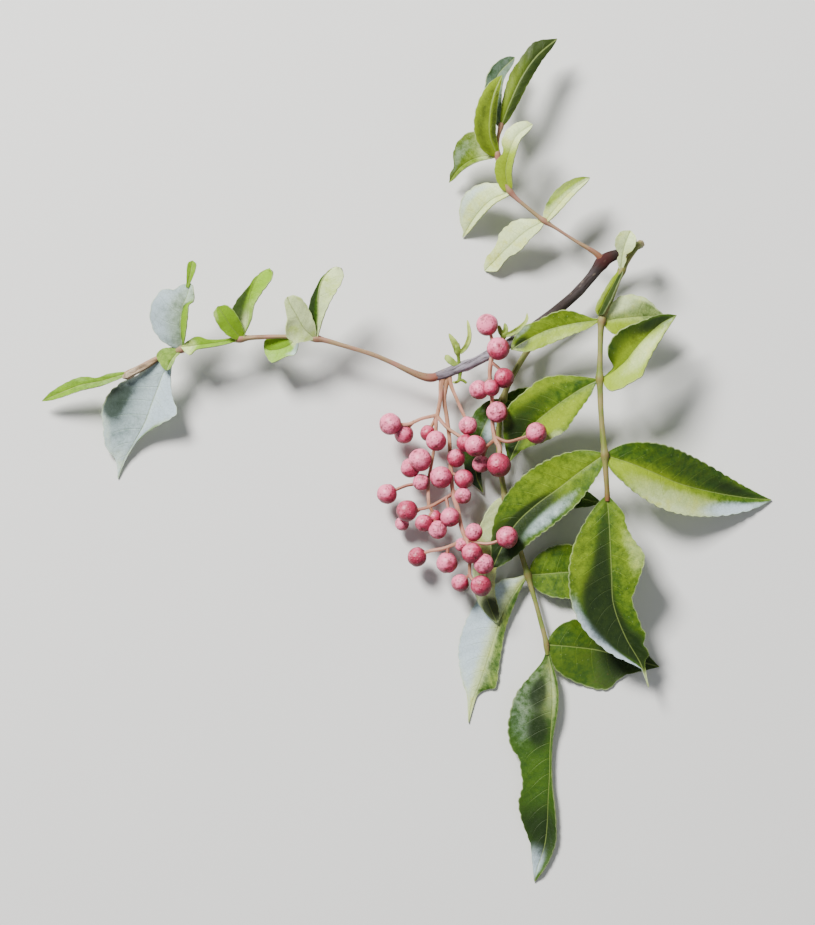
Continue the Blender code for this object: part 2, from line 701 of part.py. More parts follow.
def length_of(points):
    """Length of the straight runs between the given points."""
    places = np.array(points, float)[:, :3]
    return float(np.linalg.norm(np.diff(places, axis=0), axis=1).sum())


def unit(vector):
    """The vector at length one."""
    return vector / np.linalg.norm(vector)


def share_of_width(half, t, tail):
    """How wide the half is at t along the midrib, as a share of its greatest width."""
    reach = t / (1.0 - tail)
    if reach <= 0.0 or reach >= 1.0:
        return 0.0
    towards_tip = half.fullness * (1.0 - half.widest) / half.widest
    body = (reach / half.widest) ** half.fullness
    body *= ((1.0 - reach) / (1.0 - half.widest)) ** towards_tip
    return body * (1.0 - half.dent * math.exp(-(((t - half.dent_at) / DENT_REACH) ** 2)))


def blade_surface(leaflet, rows):
    """Middle surface of a leaflet: a grid of points, base to tip and right margin to left."""
    rib = points_along(leaflet.rib, rows)
    run = np.gradient(rib, axis=0)
    grid = np.zeros((rows, len(BLADE_COLUMNS), 3))
    for row in range(rows):
        t = row / (rows - 1)
        level = math.hypot(run[row, 0], run[row, 1])
        across = np.array([-run[row, 1], run[row, 0], 0.0]) / level
        tooth = 1.0 - TOOTH_DEPTH * (row % 2 == 0)
        for column, s in enumerate(BLADE_COLUMNS):
            half = leaflet.left if s > 0 else leaflet.right
            share = share_of_width(half, t, leaflet.tail)
            width = RIB_HALF_WIDTH + half.width * share * (tooth if abs(s) == 1 else 1.0)
            rise = half.lift * share**LIFT_ALONG * abs(s) ** LIFT_ACROSS
            grid[row, column] = rib[row] + across * width * s + np.array([0.0, 0.0, rise])
    grid[:, :, 2] = np.maximum(grid[:, :, 2], BLADE_THICKNESS / 2)
    return grid


def surface_normals(grid):
    """Unit normals of a grid of points, averaged over the cells round each."""
    along = np.gradient(grid, axis=0)
    across = np.gradient(grid, axis=1)
    normals = np.cross(along, across)
    return normals / np.linalg.norm(normals, axis=2, keepdims=True)


def blade(leaflet, thickness=BLADE_THICKNESS):
    """Closed leaf blade: both faces are split along the same diagonals, with a rim between."""
    rows = BLADE_ROWS if length_of(leaflet.rib) > SMALL_BLADE_LENGTH else SMALL_BLADE_ROWS
    grid = blade_surface(leaflet, rows)
    offset = surface_normals(grid) * thickness / 2
    lower = grid - offset
    lower[:, :, 2] = np.maximum(lower[:, :, 2], 0.0)
    columns = len(BLADE_COLUMNS)
    top = np.arange(rows * columns).reshape(rows, columns)
    under = top + rows * columns
    faces = []
    for r in range(rows - 1):
        for c in range(columns - 1):
            a, b, d, e = top[r, c], top[r + 1, c], top[r + 1, c + 1], top[r, c + 1]
            faces += [(a, b, d), (a, d, e)]
            a, b, d, e = under[r, c], under[r + 1, c], under[r + 1, c + 1], under[r, c + 1]
            faces += [(a, d, b), (a, e, d)]
    rim = [(r, 0) for r in range(rows)]
    rim += [(rows - 1, c) for c in range(1, columns)]
    rim += [(r, columns - 1) for r in range(rows - 2, -1, -1)]
    rim += [(0, c) for c in range(columns - 2, 0, -1)]
    for here, ahead in zip(rim, rim[1:] + rim[:1]):
        faces += [(top[here], under[here], under[ahead]), (top[here], under[ahead], top[ahead])]
    return np.vstack([(grid + offset).reshape(-1, 3), lower.reshape(-1, 3)]), faces


def tube(points, sides, spacing):
    """Closed rod through points of x, y, z and radius, with a ring about every spacing."""
    rings = max(3, round(length_of(points) / spacing) + 1)
    path = points_along(points, rings)
    places, radii = path[:, :3], path[:, 3]
    runs = [unit(run) for run in np.gradient(places, axis=0)]
    across = unit(np.cross(runs[0], OFF_LINE))
    vertices = []
    for place, radius, run in zip(places, radii, runs):
        across = unit(across - run * across.dot(run))
        upward = np.cross(run, across)
        for side in range(sides):
            angle = 2 * math.pi * side / sides
            vertices.append(place + radius * (across * math.cos(angle) + upward * math.sin(angle)))
    faces = [tuple(reversed(range(sides))), tuple(range((rings - 1) * sides, rings * sides))]
    for ring in range(rings - 1):
        for side in range(sides):
            a = ring * sides + side
            b = ring * sides + (side + 1) % sides
            faces.append((a, b, b + sides, a + sides))
    return np.array(vertices), faces


def globe(x, y, z, radius):
    """Berry: a ball with its poles on a level line, so that no face lies flat on another's."""
    vertices = [(x, y - radius, z)]
    for ring in range(1, BERRY_RINGS):
        tilt = math.pi * ring / BERRY_RINGS
        for segment in range(BERRY_SEGMENTS):
            angle = 2 * math.pi * segment / BERRY_SEGMENTS
            reach = radius * math.sin(tilt)
            sideways, upward = reach * math.cos(angle), reach * math.sin(angle)
            vertices.append((x + sideways, y - radius * math.cos(tilt), z + upward))
    vertices.append((x, y + radius, z))
    last = len(vertices) - 1
    faces = []
    for segment in range(BERRY_SEGMENTS):
        beside = (segment + 1) % BERRY_SEGMENTS
        faces.append((0, 1 + segment, 1 + beside))
        faces.append((last, last - BERRY_SEGMENTS + beside, last - BERRY_SEGMENTS + segment))
        for ring in range(BERRY_RINGS - 2):
            here = 1 + ring * BERRY_SEGMENTS
            ahead = here + BERRY_SEGMENTS
            faces.append((here + segment, ahead + segment, ahead + beside, here + beside))
    return np.array(vertices), faces


def finish(name, colour, roughness):
    """Principled material of one colour."""
    material = bpy.data.materials.new(name)
    material.use_nodes = True
    shader = material.node_tree.nodes["Principled BSDF"]
    shader.inputs["Base Color"].default_value = (*colour, 1.0)
    shader.inputs["Roughness"].default_value = roughness
    shader.inputs["Metallic"].default_value = 0.0
    material.diffuse_color = (*colour, 1.0)
    return material


def mesh_object(name, shape, origin):
    """Object at the origin point (mm) whose mesh is the shape (mm), turned to metres."""
    vertices, faces = shape
    mesh = bpy.data.meshes.new(name)
    mesh.from_pydata((vertices - np.array(origin)) * MM, [], faces)
    mesh.validate()
    thing = bpy.data.objects.new(name, mesh)
    thing.location = np.array(origin) * MM
    bpy.context.scene.collection.objects.link(thing)
    return thing


def fused(name, shapes, origin, material, parent):
    """One solid object made by the union of overlapping shapes."""
    body, *others = [mesh_object(name, shape, origin) for shape in shapes]
    if others:
        group = bpy.data.collections.new(name + "_pieces")
        for other in others:
            group.objects.link(other)
        union = body.modifiers.new("union", "BOOLEAN")
        union.operation = "UNION"
        union.operand_type = "COLLECTION"
        union.collection = group
        graph = bpy.context.evaluated_depsgraph_get()
        joined = bpy.data.meshes.new_from_object(body.evaluated_get(graph))
        body.modifiers.clear()
        body.data = joined
        for other in others:
            bpy.data.objects.remove(other)
        bpy.data.collections.remove(group)
    body.name = name
    body.data.name = name
    body.data.materials.clear()
    body.data.materials.append(material)
    body.data.shade_smooth()
    body.data.set_sharp_from_angle(angle=SHARP_ANGLE)
    body.parent = parent
    return body


def make_twig(parent):
    """Woody twig with its cut end at the upper right."""
    bark = finish("bark", (0.33, 0.30, 0.31), 0.75)
    return fused("twig", [tube(TWIG_POINTS, TWIG_SIDES, TWIG_RING_SPACING)], TWIG_POINTS[0][:3], bark, parent)


def make_leaf(leaf, parent):
    """Compound leaf: its leaflets joined to the stalk that carries them."""
    shapes = [tube(leaf.rachis, RACHIS_SIDES, RACHIS_RING_SPACING)]
    shapes += [blade(leaflet) for leaflet in leaf.leaflets]
    surface = finish(leaf.name + "_green", leaf.colour, 0.5)
    return fused(leaf.name, shapes, leaf.rachis[0][:3], surface, parent)


def make_cluster(cluster, parent):
    """Cluster of berries joined by their branched stalks."""
    shapes = [tube(stalk, STALK_SIDES, STALK_RING_SPACING) for stalk in cluster.stalks]
    shapes += [globe(*berry) for berry in cluster.berries]
    surface = finish(cluster.name + "_pink", cluster.colour, 0.45)
    return fused(cluster.name, shapes, cluster.stalks[0][0][:3], surface, parent)


def make_shoot(shoot, parent):
    """Bud shoot: a short stalk and body with narrow scales."""
    shapes = [tube(stalk, STALK_SIDES, BUD_RING_SPACING) for stalk in shoot.stalks]
    shapes += [blade(scale, SCALE_THICKNESS) for scale in shoot.scales]
    surface = finish(shoot.name + "_green", shoot.colour, 0.55)
    return fused(shoot.name, shapes, shoot.stalks[0][0][:3], surface, parent)


def clear_scene():
    """Remove every object of the open scene."""
    for thing in list(bpy.data.objects):
        bpy.data.objects.remove(thing)


def main():
    """Build the sprig."""
    clear_scene()
    sprig = bpy.data.objects.new("sprig", None)
    bpy.context.scene.collection.objects.link(sprig)
    make_twig(sprig)
    for leaf in (RIGHT_LEAF, LOWER_LEAF, UPPER_LEAF, LEFT_LEAF):
        make_leaf(leaf, sprig)
    for cluster in (MAIN_CLUSTER, SIDE_CLUSTER):
        make_cluster(cluster, sprig)
    for shoot in (BUD_SHOOT_LEFT, BUD_SHOOT_RIGHT, BUD_SHOOT_UNDER):
        make_shoot(shoot, sprig)


main()
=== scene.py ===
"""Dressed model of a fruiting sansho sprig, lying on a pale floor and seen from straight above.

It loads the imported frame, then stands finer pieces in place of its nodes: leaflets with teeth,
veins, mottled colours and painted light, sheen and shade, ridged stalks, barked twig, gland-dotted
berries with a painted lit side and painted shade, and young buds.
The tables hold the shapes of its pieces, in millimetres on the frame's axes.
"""

from dataclasses import dataclass, field
from enum import Enum
from functools import partial
import logging
import math
from typing import Callable, Union

import bpy
import numpy as np
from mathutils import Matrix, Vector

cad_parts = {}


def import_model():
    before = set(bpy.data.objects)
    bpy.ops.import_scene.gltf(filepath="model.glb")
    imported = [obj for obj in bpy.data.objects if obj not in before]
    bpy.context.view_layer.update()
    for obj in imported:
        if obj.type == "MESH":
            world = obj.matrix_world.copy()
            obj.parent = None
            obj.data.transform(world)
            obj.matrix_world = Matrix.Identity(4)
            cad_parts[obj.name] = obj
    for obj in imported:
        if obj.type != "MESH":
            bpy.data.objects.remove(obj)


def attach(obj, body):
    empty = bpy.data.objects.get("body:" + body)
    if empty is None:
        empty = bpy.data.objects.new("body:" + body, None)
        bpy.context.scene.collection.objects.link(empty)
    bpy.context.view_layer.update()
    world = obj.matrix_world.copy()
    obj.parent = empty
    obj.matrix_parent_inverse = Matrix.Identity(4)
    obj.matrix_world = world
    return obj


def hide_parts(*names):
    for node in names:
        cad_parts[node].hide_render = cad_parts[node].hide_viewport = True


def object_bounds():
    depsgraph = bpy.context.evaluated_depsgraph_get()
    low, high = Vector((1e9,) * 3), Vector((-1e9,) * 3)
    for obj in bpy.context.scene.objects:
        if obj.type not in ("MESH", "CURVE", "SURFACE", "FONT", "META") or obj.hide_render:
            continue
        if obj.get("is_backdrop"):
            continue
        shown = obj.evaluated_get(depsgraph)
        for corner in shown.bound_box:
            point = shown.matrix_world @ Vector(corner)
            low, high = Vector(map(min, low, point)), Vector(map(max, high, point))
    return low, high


logging.basicConfig(level=logging.INFO, format="%(name)s: %(message)s")
LOG = logging.getLogger("sprig")

MM = 0.001
BODY = "root"

# Photograph
PHOTO_WIDTH_PX = 815
PHOTO_HEIGHT_PX = 925
MM_PER_PX = 0.22
ORIGIN_PX = (407.0, 459.0)

# Leaflet sizes in millimetres
BLADE_THICKNESS = 0.28
SOLID_THICKNESS = 0.62
BLADE_CELL = 0.55
RIB_HALF_WIDTH = 0.32
RIB_GROOVE = 0.16
GROOVE_REACH = 0.5
TOOTH_PITCH = 2.0
TOOTH_DEPTH = 0.34
TOOTH_FULL_WIDTH = 4.0
TOOTH_LEAST_WIDTH = 1.2
VEIN_PITCH = 3.4
QUILTING = 0.22
MARGIN_WAVE = 0.16
FIRM_WIDTH = 3.0
LEAST_WIDTH = 0.5

# Leaflet counts, shares and powers
BLADE_ROWS = 14
BLADE_COLUMNS = 26
COLUMN_CROWDING = 1.15
STEM_END = 1.03
STEM_TAPER = 0.14
DENT_REACH = 0.09
LIFT_ALONG = 1.5
LIFT_ACROSS = 1.3
PATCH_EDGE = 1.4
LEAST_SHARE = 0.02
LEAST_TEETH = 4
TOOTH_START = 0.12
TOOTH_BLUNTNESS = 0.7
TOOTH_INSET = 6
TOOTH_WAVE = 0.012
LEAST_VEINS = 5.0
FIRST_VEIN = 20.0
VEIN_SWEEP = 0.13
VEIN_BEND = 1.3
VEIN_STAGGER = 0.23
VEIN_WAVE = 0.06
WAVE_ACROSS = 2.5
SEED_SPREAD = 7.3
LEAFLET_SEED = 1.7

# Stalks and twig
STALK_RADIUS = 0.42
BRANCH_RADIUS = 0.52
CURVE_STEPS = 16
OFF_LINE = (0.31, 0.17, 0.93)
END_RINGS = ((0.12, 0.16), (0.45, 0.15), (0.76, 0.11), (0.93, 0.04))
SHARP_ANGLE = math.radians(50)
SWELL_REACH = 1.1
JOINT_SEARCH = 200
JOINT_SWELL = 0.22
JOINT_RUDDY = 0.45
JOINT_RUDDY_REACH = 1.2
RUDDY_FADE = 6.0
LEAST_RINGS = 6
BRANCH_SEED = 1.3
TWIG_SEED = 0.7

# Stretches of stalk and bark as place, reach and strength
TWIG_BROWN = ((0.0, 0.26, 0.9), (0.42, 0.12, 0.5))
TWIG_RUDDY = ((0.16, 0.05, 0.8), (0.98, 0.06, 0.6))
TWIG_LILAC_START = 0.45
TWIG_LILAC_RISE = 0.35
HUSK_BROWN = ((0.6, 0.35, 0.5), (0.06, 0.08, 0.45))
HUSK_RUDDY = ((1.0, math.sqrt(0.02), 0.3),)
HUSK_DARKENING = 0.6

# Berries and buds
BERRY_SEGMENTS = 36
BERRY_RINGS = 22
# Direction of the key light, towards which each berry is painted lighter.
PAINTED_LIGHT_SIDE = (-0.5, 0.65, 0.75)
BERRY_BODY = 0.975
WOBBLE_AROUND = 0.012
WOBBLE_ALONG = 0.010
SEAM_WIDTH = 0.16
SEAM_START = 1.2
SEAM_DEPTH = 0.035
SEAM_SCAR = 0.22
POINT_WIDTH = 0.16
POINT_DEPTH = 0.05
POINT_SCAR = 0.75
CALYX_TILT = 0.42
CALYX_WIDTH = 0.10
CALYX_HEIGHT = 0.02
CALYX_SCAR = 0.35
FOOT_SHIFT = (0.0, 0.3, -0.2)
TONE_STEP = 0.618
TONE_SHIFT = 0.1
FINE_STALK_RUDDY = 0.55
BRANCH_RUDDY = 0.3
SCALE_LENGTH = 6
BUD_SEED = 2.0
SCALE_SEED = 1.9

Colour = tuple[float, float, float]
Point = tuple[float, ...]
Numbers = dict[str, np.ndarray]
Tones = Callable[[np.ndarray], Numbers]
Socket = bpy.types.NodeSocket
Number = Union["Value", float]
Paint = Union[Colour, Socket]


def linear(level: int) -> float:
    """Linear level of a usual one, from 0 to 255."""
    share = level / 255
    return share / 12.92 if share <= 0.04045 else ((share + 0.055) / 1.055) ** 2.4


def srgb(red: int, green: int, blue: int) -> Colour:
    """Linear colour of the usual 0 to 255 levels."""
    return (linear(red), linear(green), linear(blue))


class Value:
    """A number in a shader. Operators on it add Math nodes to its finish's tree."""

    def __init__(self, graph: "Graph", socket: Socket) -> None:
        """Keep the socket that carries the number, and the graph that holds it."""
        self.graph = graph
        self.socket = socket

    def _math(self, operation: str, *numbers: Number) -> "Value":
        """Number that a Math node makes of these, in their order."""
        made = self.graph.node("ShaderNodeMath", {"operation": operation}, dict(enumerate(numbers)))
        return Value(self.graph, made.outputs[0])

    def __add__(self, other: Number) -> "Value":
        """Sum."""
        return self._math("ADD", self, other)

    def __radd__(self, other: float) -> "Value":
        """Sum, reflected."""
        return self._math("ADD", other, self)

    def __sub__(self, other: Number) -> "Value":
        """Difference."""
        return self._math("SUBTRACT", self, other)

    def __rsub__(self, other: float) -> "Value":
        """Difference, reflected."""
        return self._math("SUBTRACT", other, self)

    def __mul__(self, other: Number) -> "Value":
        """Product."""
        return self._math("MULTIPLY", self, other)

    def __rmul__(self, other: float) -> "Value":
        """Product, reflected."""
        return self._math("MULTIPLY", other, self)

    def __abs__(self) -> "Value":
        """Size without its sign."""
        return self._math("ABSOLUTE", self)

    def sine(self) -> "Value":
        """Sine of the number in radians."""
        return self._math("SINE", self)

    def fraction(self) -> "Value":
        """Part after the decimal point."""
        return self._math("FRACT", self)

    def ramp(self, low: float, high: float) -> "Value":
        """0 at low and 1 at high, with a smooth rise or, if low is over high, a fall.

        Args:
            low: the value from which the result is 0.
            high: the value from which the result is 1.

        Returns:
            The smoothed share.
        """
        start, end, first, last = (low, high, 0.0, 1.0) if low < high else (high, low, 1.0, 0.0)
        settings = {"interpolation_type": "SMOOTHSTEP", "clamp": True}
        values = {"Value": self, "From Min": start, "From Max": end, "To Min": first,
                  "To Max": last}
        return Value(self.graph, self.graph.node("ShaderNodeMapRange", settings, values).outputs[0])


class CellPart(Enum):
    """What a pattern of cells gives the distance to."""

    CENTRES = "F1"
    EDGES = "DISTANCE_TO_EDGE"


class Graph:
    """The node tree of one finish."""

    def __init__(self, name: str) -> None:
        """Start a material with a bare Principled shader.

        Args:
            name: name of the material.
        """
        self.material = bpy.data.materials.new(name)
        self.material.use_nodes = True
        self.tree = self.material.node_tree
        self.tree.nodes.clear()
        self.shader = self.node("ShaderNodeBsdfPrincipled")
        output = self.node("ShaderNodeOutputMaterial")
        self.tree.links.new(self.shader.outputs[0], output.inputs["Surface"])

    def node(self, kind: str, settings: dict | None = None,
             values: dict | None = None) -> bpy.types.Node:
        """Add one node.

        Args:
            kind: the node's type.
            settings: what is set first.
            values: a plain value or a link for each of its sockets, by name or place.

        Returns:
            The node.
        """
        made = self.tree.nodes.new(kind)
        for name, setting in (settings or {}).items():
            setattr(made, name, setting)
        for name, entry in (values or {}).items():
            self._feed(made.inputs[name], entry)
        return made

    def _feed(self, target: Socket, entry: Union[Number, Paint]) -> None:
        """Link an input, or give it a plain value.

        Args:
            target: the input.
            entry: a number, a colour, or what carries one.
        """
        if isinstance(entry, Value):
            entry = entry.socket
        if isinstance(entry, Socket):
            self.tree.links.new(entry, target)
        else:
            target.default_value = (*entry, 1.0) if isinstance(entry, tuple) else entry

    def value(self, name: str) -> Value:
        """Number that the mesh carries under that name."""
        made = self.node("ShaderNodeAttribute", {"attribute_name": name})
        return Value(self, made.outputs["Fac"])

    def place(self, x: Number, y: Number, z: Number) -> Socket:
        """Vector of three numbers."""
        return self.node("ShaderNodeCombineXYZ", None, {"X": x, "Y": y, "Z": z}).outputs[0]

    def object_place(self) -> Socket:
        """Place on the object, in millimetres."""
        values = {0: self.node("ShaderNodeTexCoord").outputs["Object"], "Scale": 1 / MM}
        return self.node("ShaderNodeVectorMath", {"operation": "SCALE"}, values).outputs[0]

    def noise(self, where: Socket, size: float, detail: float, rough: float = 0.55) -> Value:
        """Cloudy number from 0 to 1.

        Args:
            where: place in millimetres.
            size: size of the clouds in millimetres.
            detail: number of finer layers.
            rough: strength of the finer layers.

        Returns:
            The number.
        """
        values = {"Vector": where, "Scale": 1 / size, "Detail": detail, "Roughness": rough}
        return Value(self, self.node("ShaderNodeTexNoise", None, values).outputs[0])

    def cells(self, where: Socket, size: float, part: CellPart = CellPart.CENTRES,
              spread: float = 1.0) -> Value:
        """Distance in a pattern of cells.

        Args:
            where: place in millimetres.
            size: size of a cell in millimetres.
            part: what the distance is taken to.
            spread: how irregular the cells are.

        Returns:
            The distance, in cell sizes.
        """
        values = {"Vector": where, "Scale": 1 / size, "Randomness": spread}
        made = self.node("ShaderNodeTexVoronoi", {"feature": part.value}, values)
        return Value(self, made.outputs["Distance"])

    def mix(self, share: Number, first: Paint, second: Paint) -> Socket:
        """Colour between two.

        Args:
            share: how much of the second.
            first: colour at share 0.
            second: colour at share 1.

        Returns:
            The mixed colour.
        """
        settings = {"data_type": "RGBA", "clamp_factor": True}
        return self.node("ShaderNodeMix", settings, {0: share, 6: first, 7: second}).outputs[2]

    def finish(self, colour: Socket, roughness: Number, relief: Value, depth: float,
               specular: float) -> bpy.types.Material:
        """Feed the shader and hand over the material.

        Args:
            colour: base colour.
            roughness: roughness.
            relief: height of the fine relief, from 0 to 1.
            depth: height in millimetres that a relief of 1 stands for.
            specular: strength of the reflection, where 0.5 is usual.

        Returns:
            The material.
        """
        inputs = self.shader.inputs
        self._feed(inputs["Base Color"], colour)
        self._feed(inputs["Roughness"], roughness)
        values = {"Height": relief, "Distance": depth * MM, "Strength": 1.0}
        self._feed(inputs["Normal"], self.node("ShaderNodeBump", None, values).outputs[0])
        self._feed(inputs["Specular IOR Level"], specular)
        return self.material


@dataclass(frozen=True)
class LeafFinish:
    """Satin leaf blade, whose tone follows what the mesh carries: yellow-green, pale, bluish and
    dark.

    Yellow-green and pale are partly its own colour and partly painted light; the bluish tone is a
    painted sheen and the dark tone is painted shade.
    """

    name: str
    green: Colour = srgb(68, 102, 16)
    moss: Colour = srgb(46, 78, 14)
    # The dark colour paints shade and also darkens the vein netting; the yellow-green and pale
    # colours partly paint light; the bluish colour paints a sheen.
    deep: Colour = srgb(20, 38, 8)
    yellow: Colour = srgb(146, 171, 28)
    pale: Colour = srgb(212, 228, 166)
    cream: Colour = srgb(200, 210, 104)
    cool: Colour = srgb(196, 216, 226)
    under: Colour = srgb(140, 158, 84)
    spot: Colour = srgb(104, 76, 36)

    def material(self) -> bpy.types.Material:
        """Build the material.

        Returns:
            The material.
        """
        graph = Graph(self.name)
        across, under = graph.value("across"), graph.value("under")
        here = graph.place(across, graph.value("along"), graph.value("seed"))
        cloud = graph.noise(here, size=4.2, detail=4.0, rough=0.6)
        fleck = graph.noise(here, size=1.1, detail=4.0, rough=0.62)
        grain = graph.noise(here, size=0.28, detail=2.0, rough=0.6)
        edge = (cloud - 0.5) * 0.9 + (fleck - 0.5) * 0.9 + (grain - 0.5) * 0.3
        side_vein, midrib = self._veins(graph, across)
        netting = graph.cells(here, 0.8, CellPart.EDGES).ramp(0.09, 0.0)
        glands = graph.cells(here, 1.15, spread=0.9).ramp(0.12, 0.05)
        colour = graph.mix((fleck + cloud - 0.6).ramp(0.1, 0.7), self.moss, self.green)
        # Yellow-green: partly its own colour, partly painted light on lit halves and patches.
        yellow = (graph.value("yellow") + edge * 0.55).ramp(0.15, 0.95)
        colour = graph.mix(yellow, colour, self.yellow)
        cream = graph.mix((cloud + fleck * 0.5).ramp(0.68, 1.05), self.pale, self.cream)
        # Pale cream: partly its own paleness, partly painted light and glare.
        colour = graph.mix((graph.value("pale") + edge * 0.45).ramp(0.2, 0.9), colour, cream)
        # Painted reflection: a bluish-white sheen painted into the colour.
        colour = graph.mix((graph.value("cool") + edge * 0.45).ramp(0.2, 0.9), colour, self.cool)
        # Painted shade: dark green where shade falls on the blade.
        deep = (graph.value("deep") + edge * 0.5).ramp(0.2, 0.82)
        colour = graph.mix(deep * 0.9, colour, self.deep)
        colour = graph.mix(side_vein * (0.13 - deep * 0.1), colour, self.yellow)
        colour = graph.mix(netting * (0.10 + fleck * 0.12), colour, self.deep)
        colour = graph.mix(glands * (0.2 - deep * 0.16), colour, self.pale)
        blemish = graph.noise(here, size=2.2, detail=5.0, rough=0.7).ramp(0.69, 0.77)
        colour = graph.mix(blemish * 0.5, colour, self.spot)
        colour = graph.mix(midrib * 0.5, colour, self.under)
        rim = graph.value("margin").ramp(0.955, 1.0)
        colour = graph.mix(rim * fleck * 0.7, colour, self.pale)
        colour = graph.mix(under * 0.65, colour, self.under)
        relief = 0.6 - side_vein * 0.25 - midrib * 0.3 - netting * 0.10
        relief = relief + grain * 0.10 + glands * 0.06
        roughness = 0.42 + fleck * 0.16 + under * 0.2
        return graph.finish(colour, roughness, relief, depth=0.14, specular=0.3)

    @staticmethod
    def _veins(graph: Graph, across: Value) -> tuple[Value, Value]:
        """Veins of the blade.

        Args:
            graph: the finish's nodes.
            across: distance from the middle of the midrib, in millimetres.

        Returns:
            Shares of side vein, which thins out to the margin, and of midrib.
        """
        margin = abs(graph.value("side"))
        gap = abs(graph.value("veins").fraction() - 0.5)
        side_vein = gap.ramp(0.455, 0.49) * margin.ramp(1.0, 0.3)
        return side_vein, abs(across).ramp(0.20, 0.08)


@dataclass(frozen=True)
class StalkFinish:
    """Ridged green or tan leaf stalk, ruddy at its foot and where leaflets join."""

    name: str
    green: Colour = srgb(110, 126, 48)
    tan: Colour = srgb(142, 132, 80)
    ruddy: Colour = srgb(124, 60, 46)
    dark: Colour = srgb(66, 50, 32)

    def material(self) -> bpy.types.Material:
        """Build the material.

        Returns:
            The material.
        """
        graph = Graph(self.name)
        along = graph.value("along") * 0.18
        lengthwise = graph.place(graph.value("around"), along, graph.value("seed"))
        streak = graph.noise(lengthwise, size=0.5, detail=4.0, rough=0.6)
        mottle = graph.noise(graph.object_place(), size=3.5, detail=4.0)
        colour = graph.mix(mottle.ramp(0.35, 0.68), self.green, self.tan)
        ruddy = (graph.value("ruddy") + (mottle - 0.5) * 0.5).ramp(0.2, 0.9)
        colour = graph.mix(ruddy, colour, self.ruddy)
        colour = graph.mix(streak.ramp(0.58, 0.85) * 0.5, colour, self.dark)
        warts = graph.cells(graph.object_place(), 1.1).ramp(0.16, 0.05)
        colour = graph.mix(warts * 0.5, colour, self.dark)
        relief = streak * 0.6 + warts * 0.4
        return graph.finish(colour, 0.5 + streak * 0.2, relief, depth=0.08, specular=0.45)


@dataclass(frozen=True)
class BarkFinish:
    """Grey-lilac bark with fine cracks, brown stretches and corky dots, and a cut end of wood."""

    name: str
    grey: Colour = srgb(64, 56, 56)
    lilac: Colour = srgb(150, 144, 156)
    brown: Colour = srgb(38, 27, 23)
    cork: Colour = srgb(150, 134, 116)
    ruddy: Colour = srgb(64, 20, 20)
    wood: Colour = srgb(206, 190, 140)
    pith: Colour = srgb(150, 120, 78)

    def material(self) -> bpy.types.Material:
        """Build the material.

        Returns:
            The material.
        """
        graph = Graph(self.name)
        around, along, core = graph.value("around"), graph.value("along"), graph.value("core")
        lengthwise = graph.place(around, along * 0.16, 0.0)
        crack = graph.noise(lengthwise, size=0.55, detail=6.0, rough=0.7)
        mottle = graph.noise(graph.object_place(), size=4.0, detail=5.0, rough=0.6)
        lilac = (mottle * 0.9 + graph.value("lilac") * 0.4).ramp(0.40, 1.0)
        colour = graph.mix(lilac, self.grey, self.lilac)
        brown = (graph.value("brown") + (mottle - 0.5) * 0.8).ramp(0.3, 0.75)
        colour = graph.mix(brown, colour, self.brown)
        colour = graph.mix(crack.ramp(0.54, 0.34) * 0.85, colour, self.brown)
        dots = graph.cells(graph.place(around, along * 0.6, 3.0), 1.5, spread=0.9).ramp(0.24, 0.12)
        colour = graph.mix(dots * (0.2 + lilac * 0.5), colour, self.cork)
        colour = graph.mix(graph.value("ruddy").ramp(0.2, 0.9) * 0.8, colour, self.ruddy)
        rings = (core * 40.0).sine() * 0.5 + 0.5
        wood = graph.mix(rings * 0.35, self.wood, self.pith)
        wood = graph.mix(core.ramp(0.30, 0.18), wood, self.pith)
        colour = graph.mix(core.ramp(0.98, 0.93), colour, wood)
        relief = crack * 0.7 + dots * 0.3
        return graph.finish(colour, 0.86 - dots * 0.1, relief, depth=0.22, specular=0.3)


@dataclass(frozen=True)
class BerryFinish:
    """Dusty pink skin with a painted lit side in pale pink and painted maroon shade on the far
    side, with oil glands, a pale bloom and scars.
    """

    name: str
    rose: Colour = srgb(166, 42, 74)
    # The pale pink paints light on the side towards the key light and also tints the bloom; the
    # maroon paints shade on the far side.
    lit_and_bloom_pink: Colour = srgb(244, 126, 162)
    shade_and_tone_maroon: Colour = srgb(84, 12, 18)
    brown: Colour = srgb(96, 38, 22)
    gland: Colour = srgb(110, 18, 30)

    def material(self) -> bpy.types.Material:
        """Build the material.

        Returns:
            The material.
        """
        graph = Graph(self.name)
        here = graph.object_place()
        tone, lit_side = graph.value("tone"), graph.value("lit_side")
        cloud = graph.noise(here, size=1.6, detail=4.0, rough=0.6)
        dust = graph.noise(here, size=0.35, detail=3.0, rough=0.7)
        bumps = graph.cells(here, 0.62, spread=0.85).ramp(0.46, 0.12)
        # Painted light and shade: pale pink towards the key light, maroon on the far side, broken
        # by clouds and each berry's own tone.
        shade_and_tone = 1.0 - lit_side + (cloud - 0.5) * 0.9 + (0.5 - tone) * 0.5
        colour = graph.mix(shade_and_tone.ramp(0.45, 0.02), self.rose, self.lit_and_bloom_pink)
        colour = graph.mix(shade_and_tone.ramp(0.3, 0.95) * 0.75, colour, self.shade_and_tone_maroon)
        colour = graph.mix(bumps * 0.4, colour, self.gland)
        colour = graph.mix(graph.value("scar"), colour, self.brown)
        colour = graph.mix((cloud + tone * 0.25).ramp(0.72, 0.86) * 0.6, colour, self.brown)
        colour = graph.mix(dust.ramp(0.5, 0.8) * 0.35, colour, self.lit_and_bloom_pink)
        relief = bumps * 0.75 + dust * 0.2
        roughness = 0.3 + dust * 0.25 - bumps * 0.06
        return graph.finish(colour, roughness, relief, depth=0.13, specular=0.5)


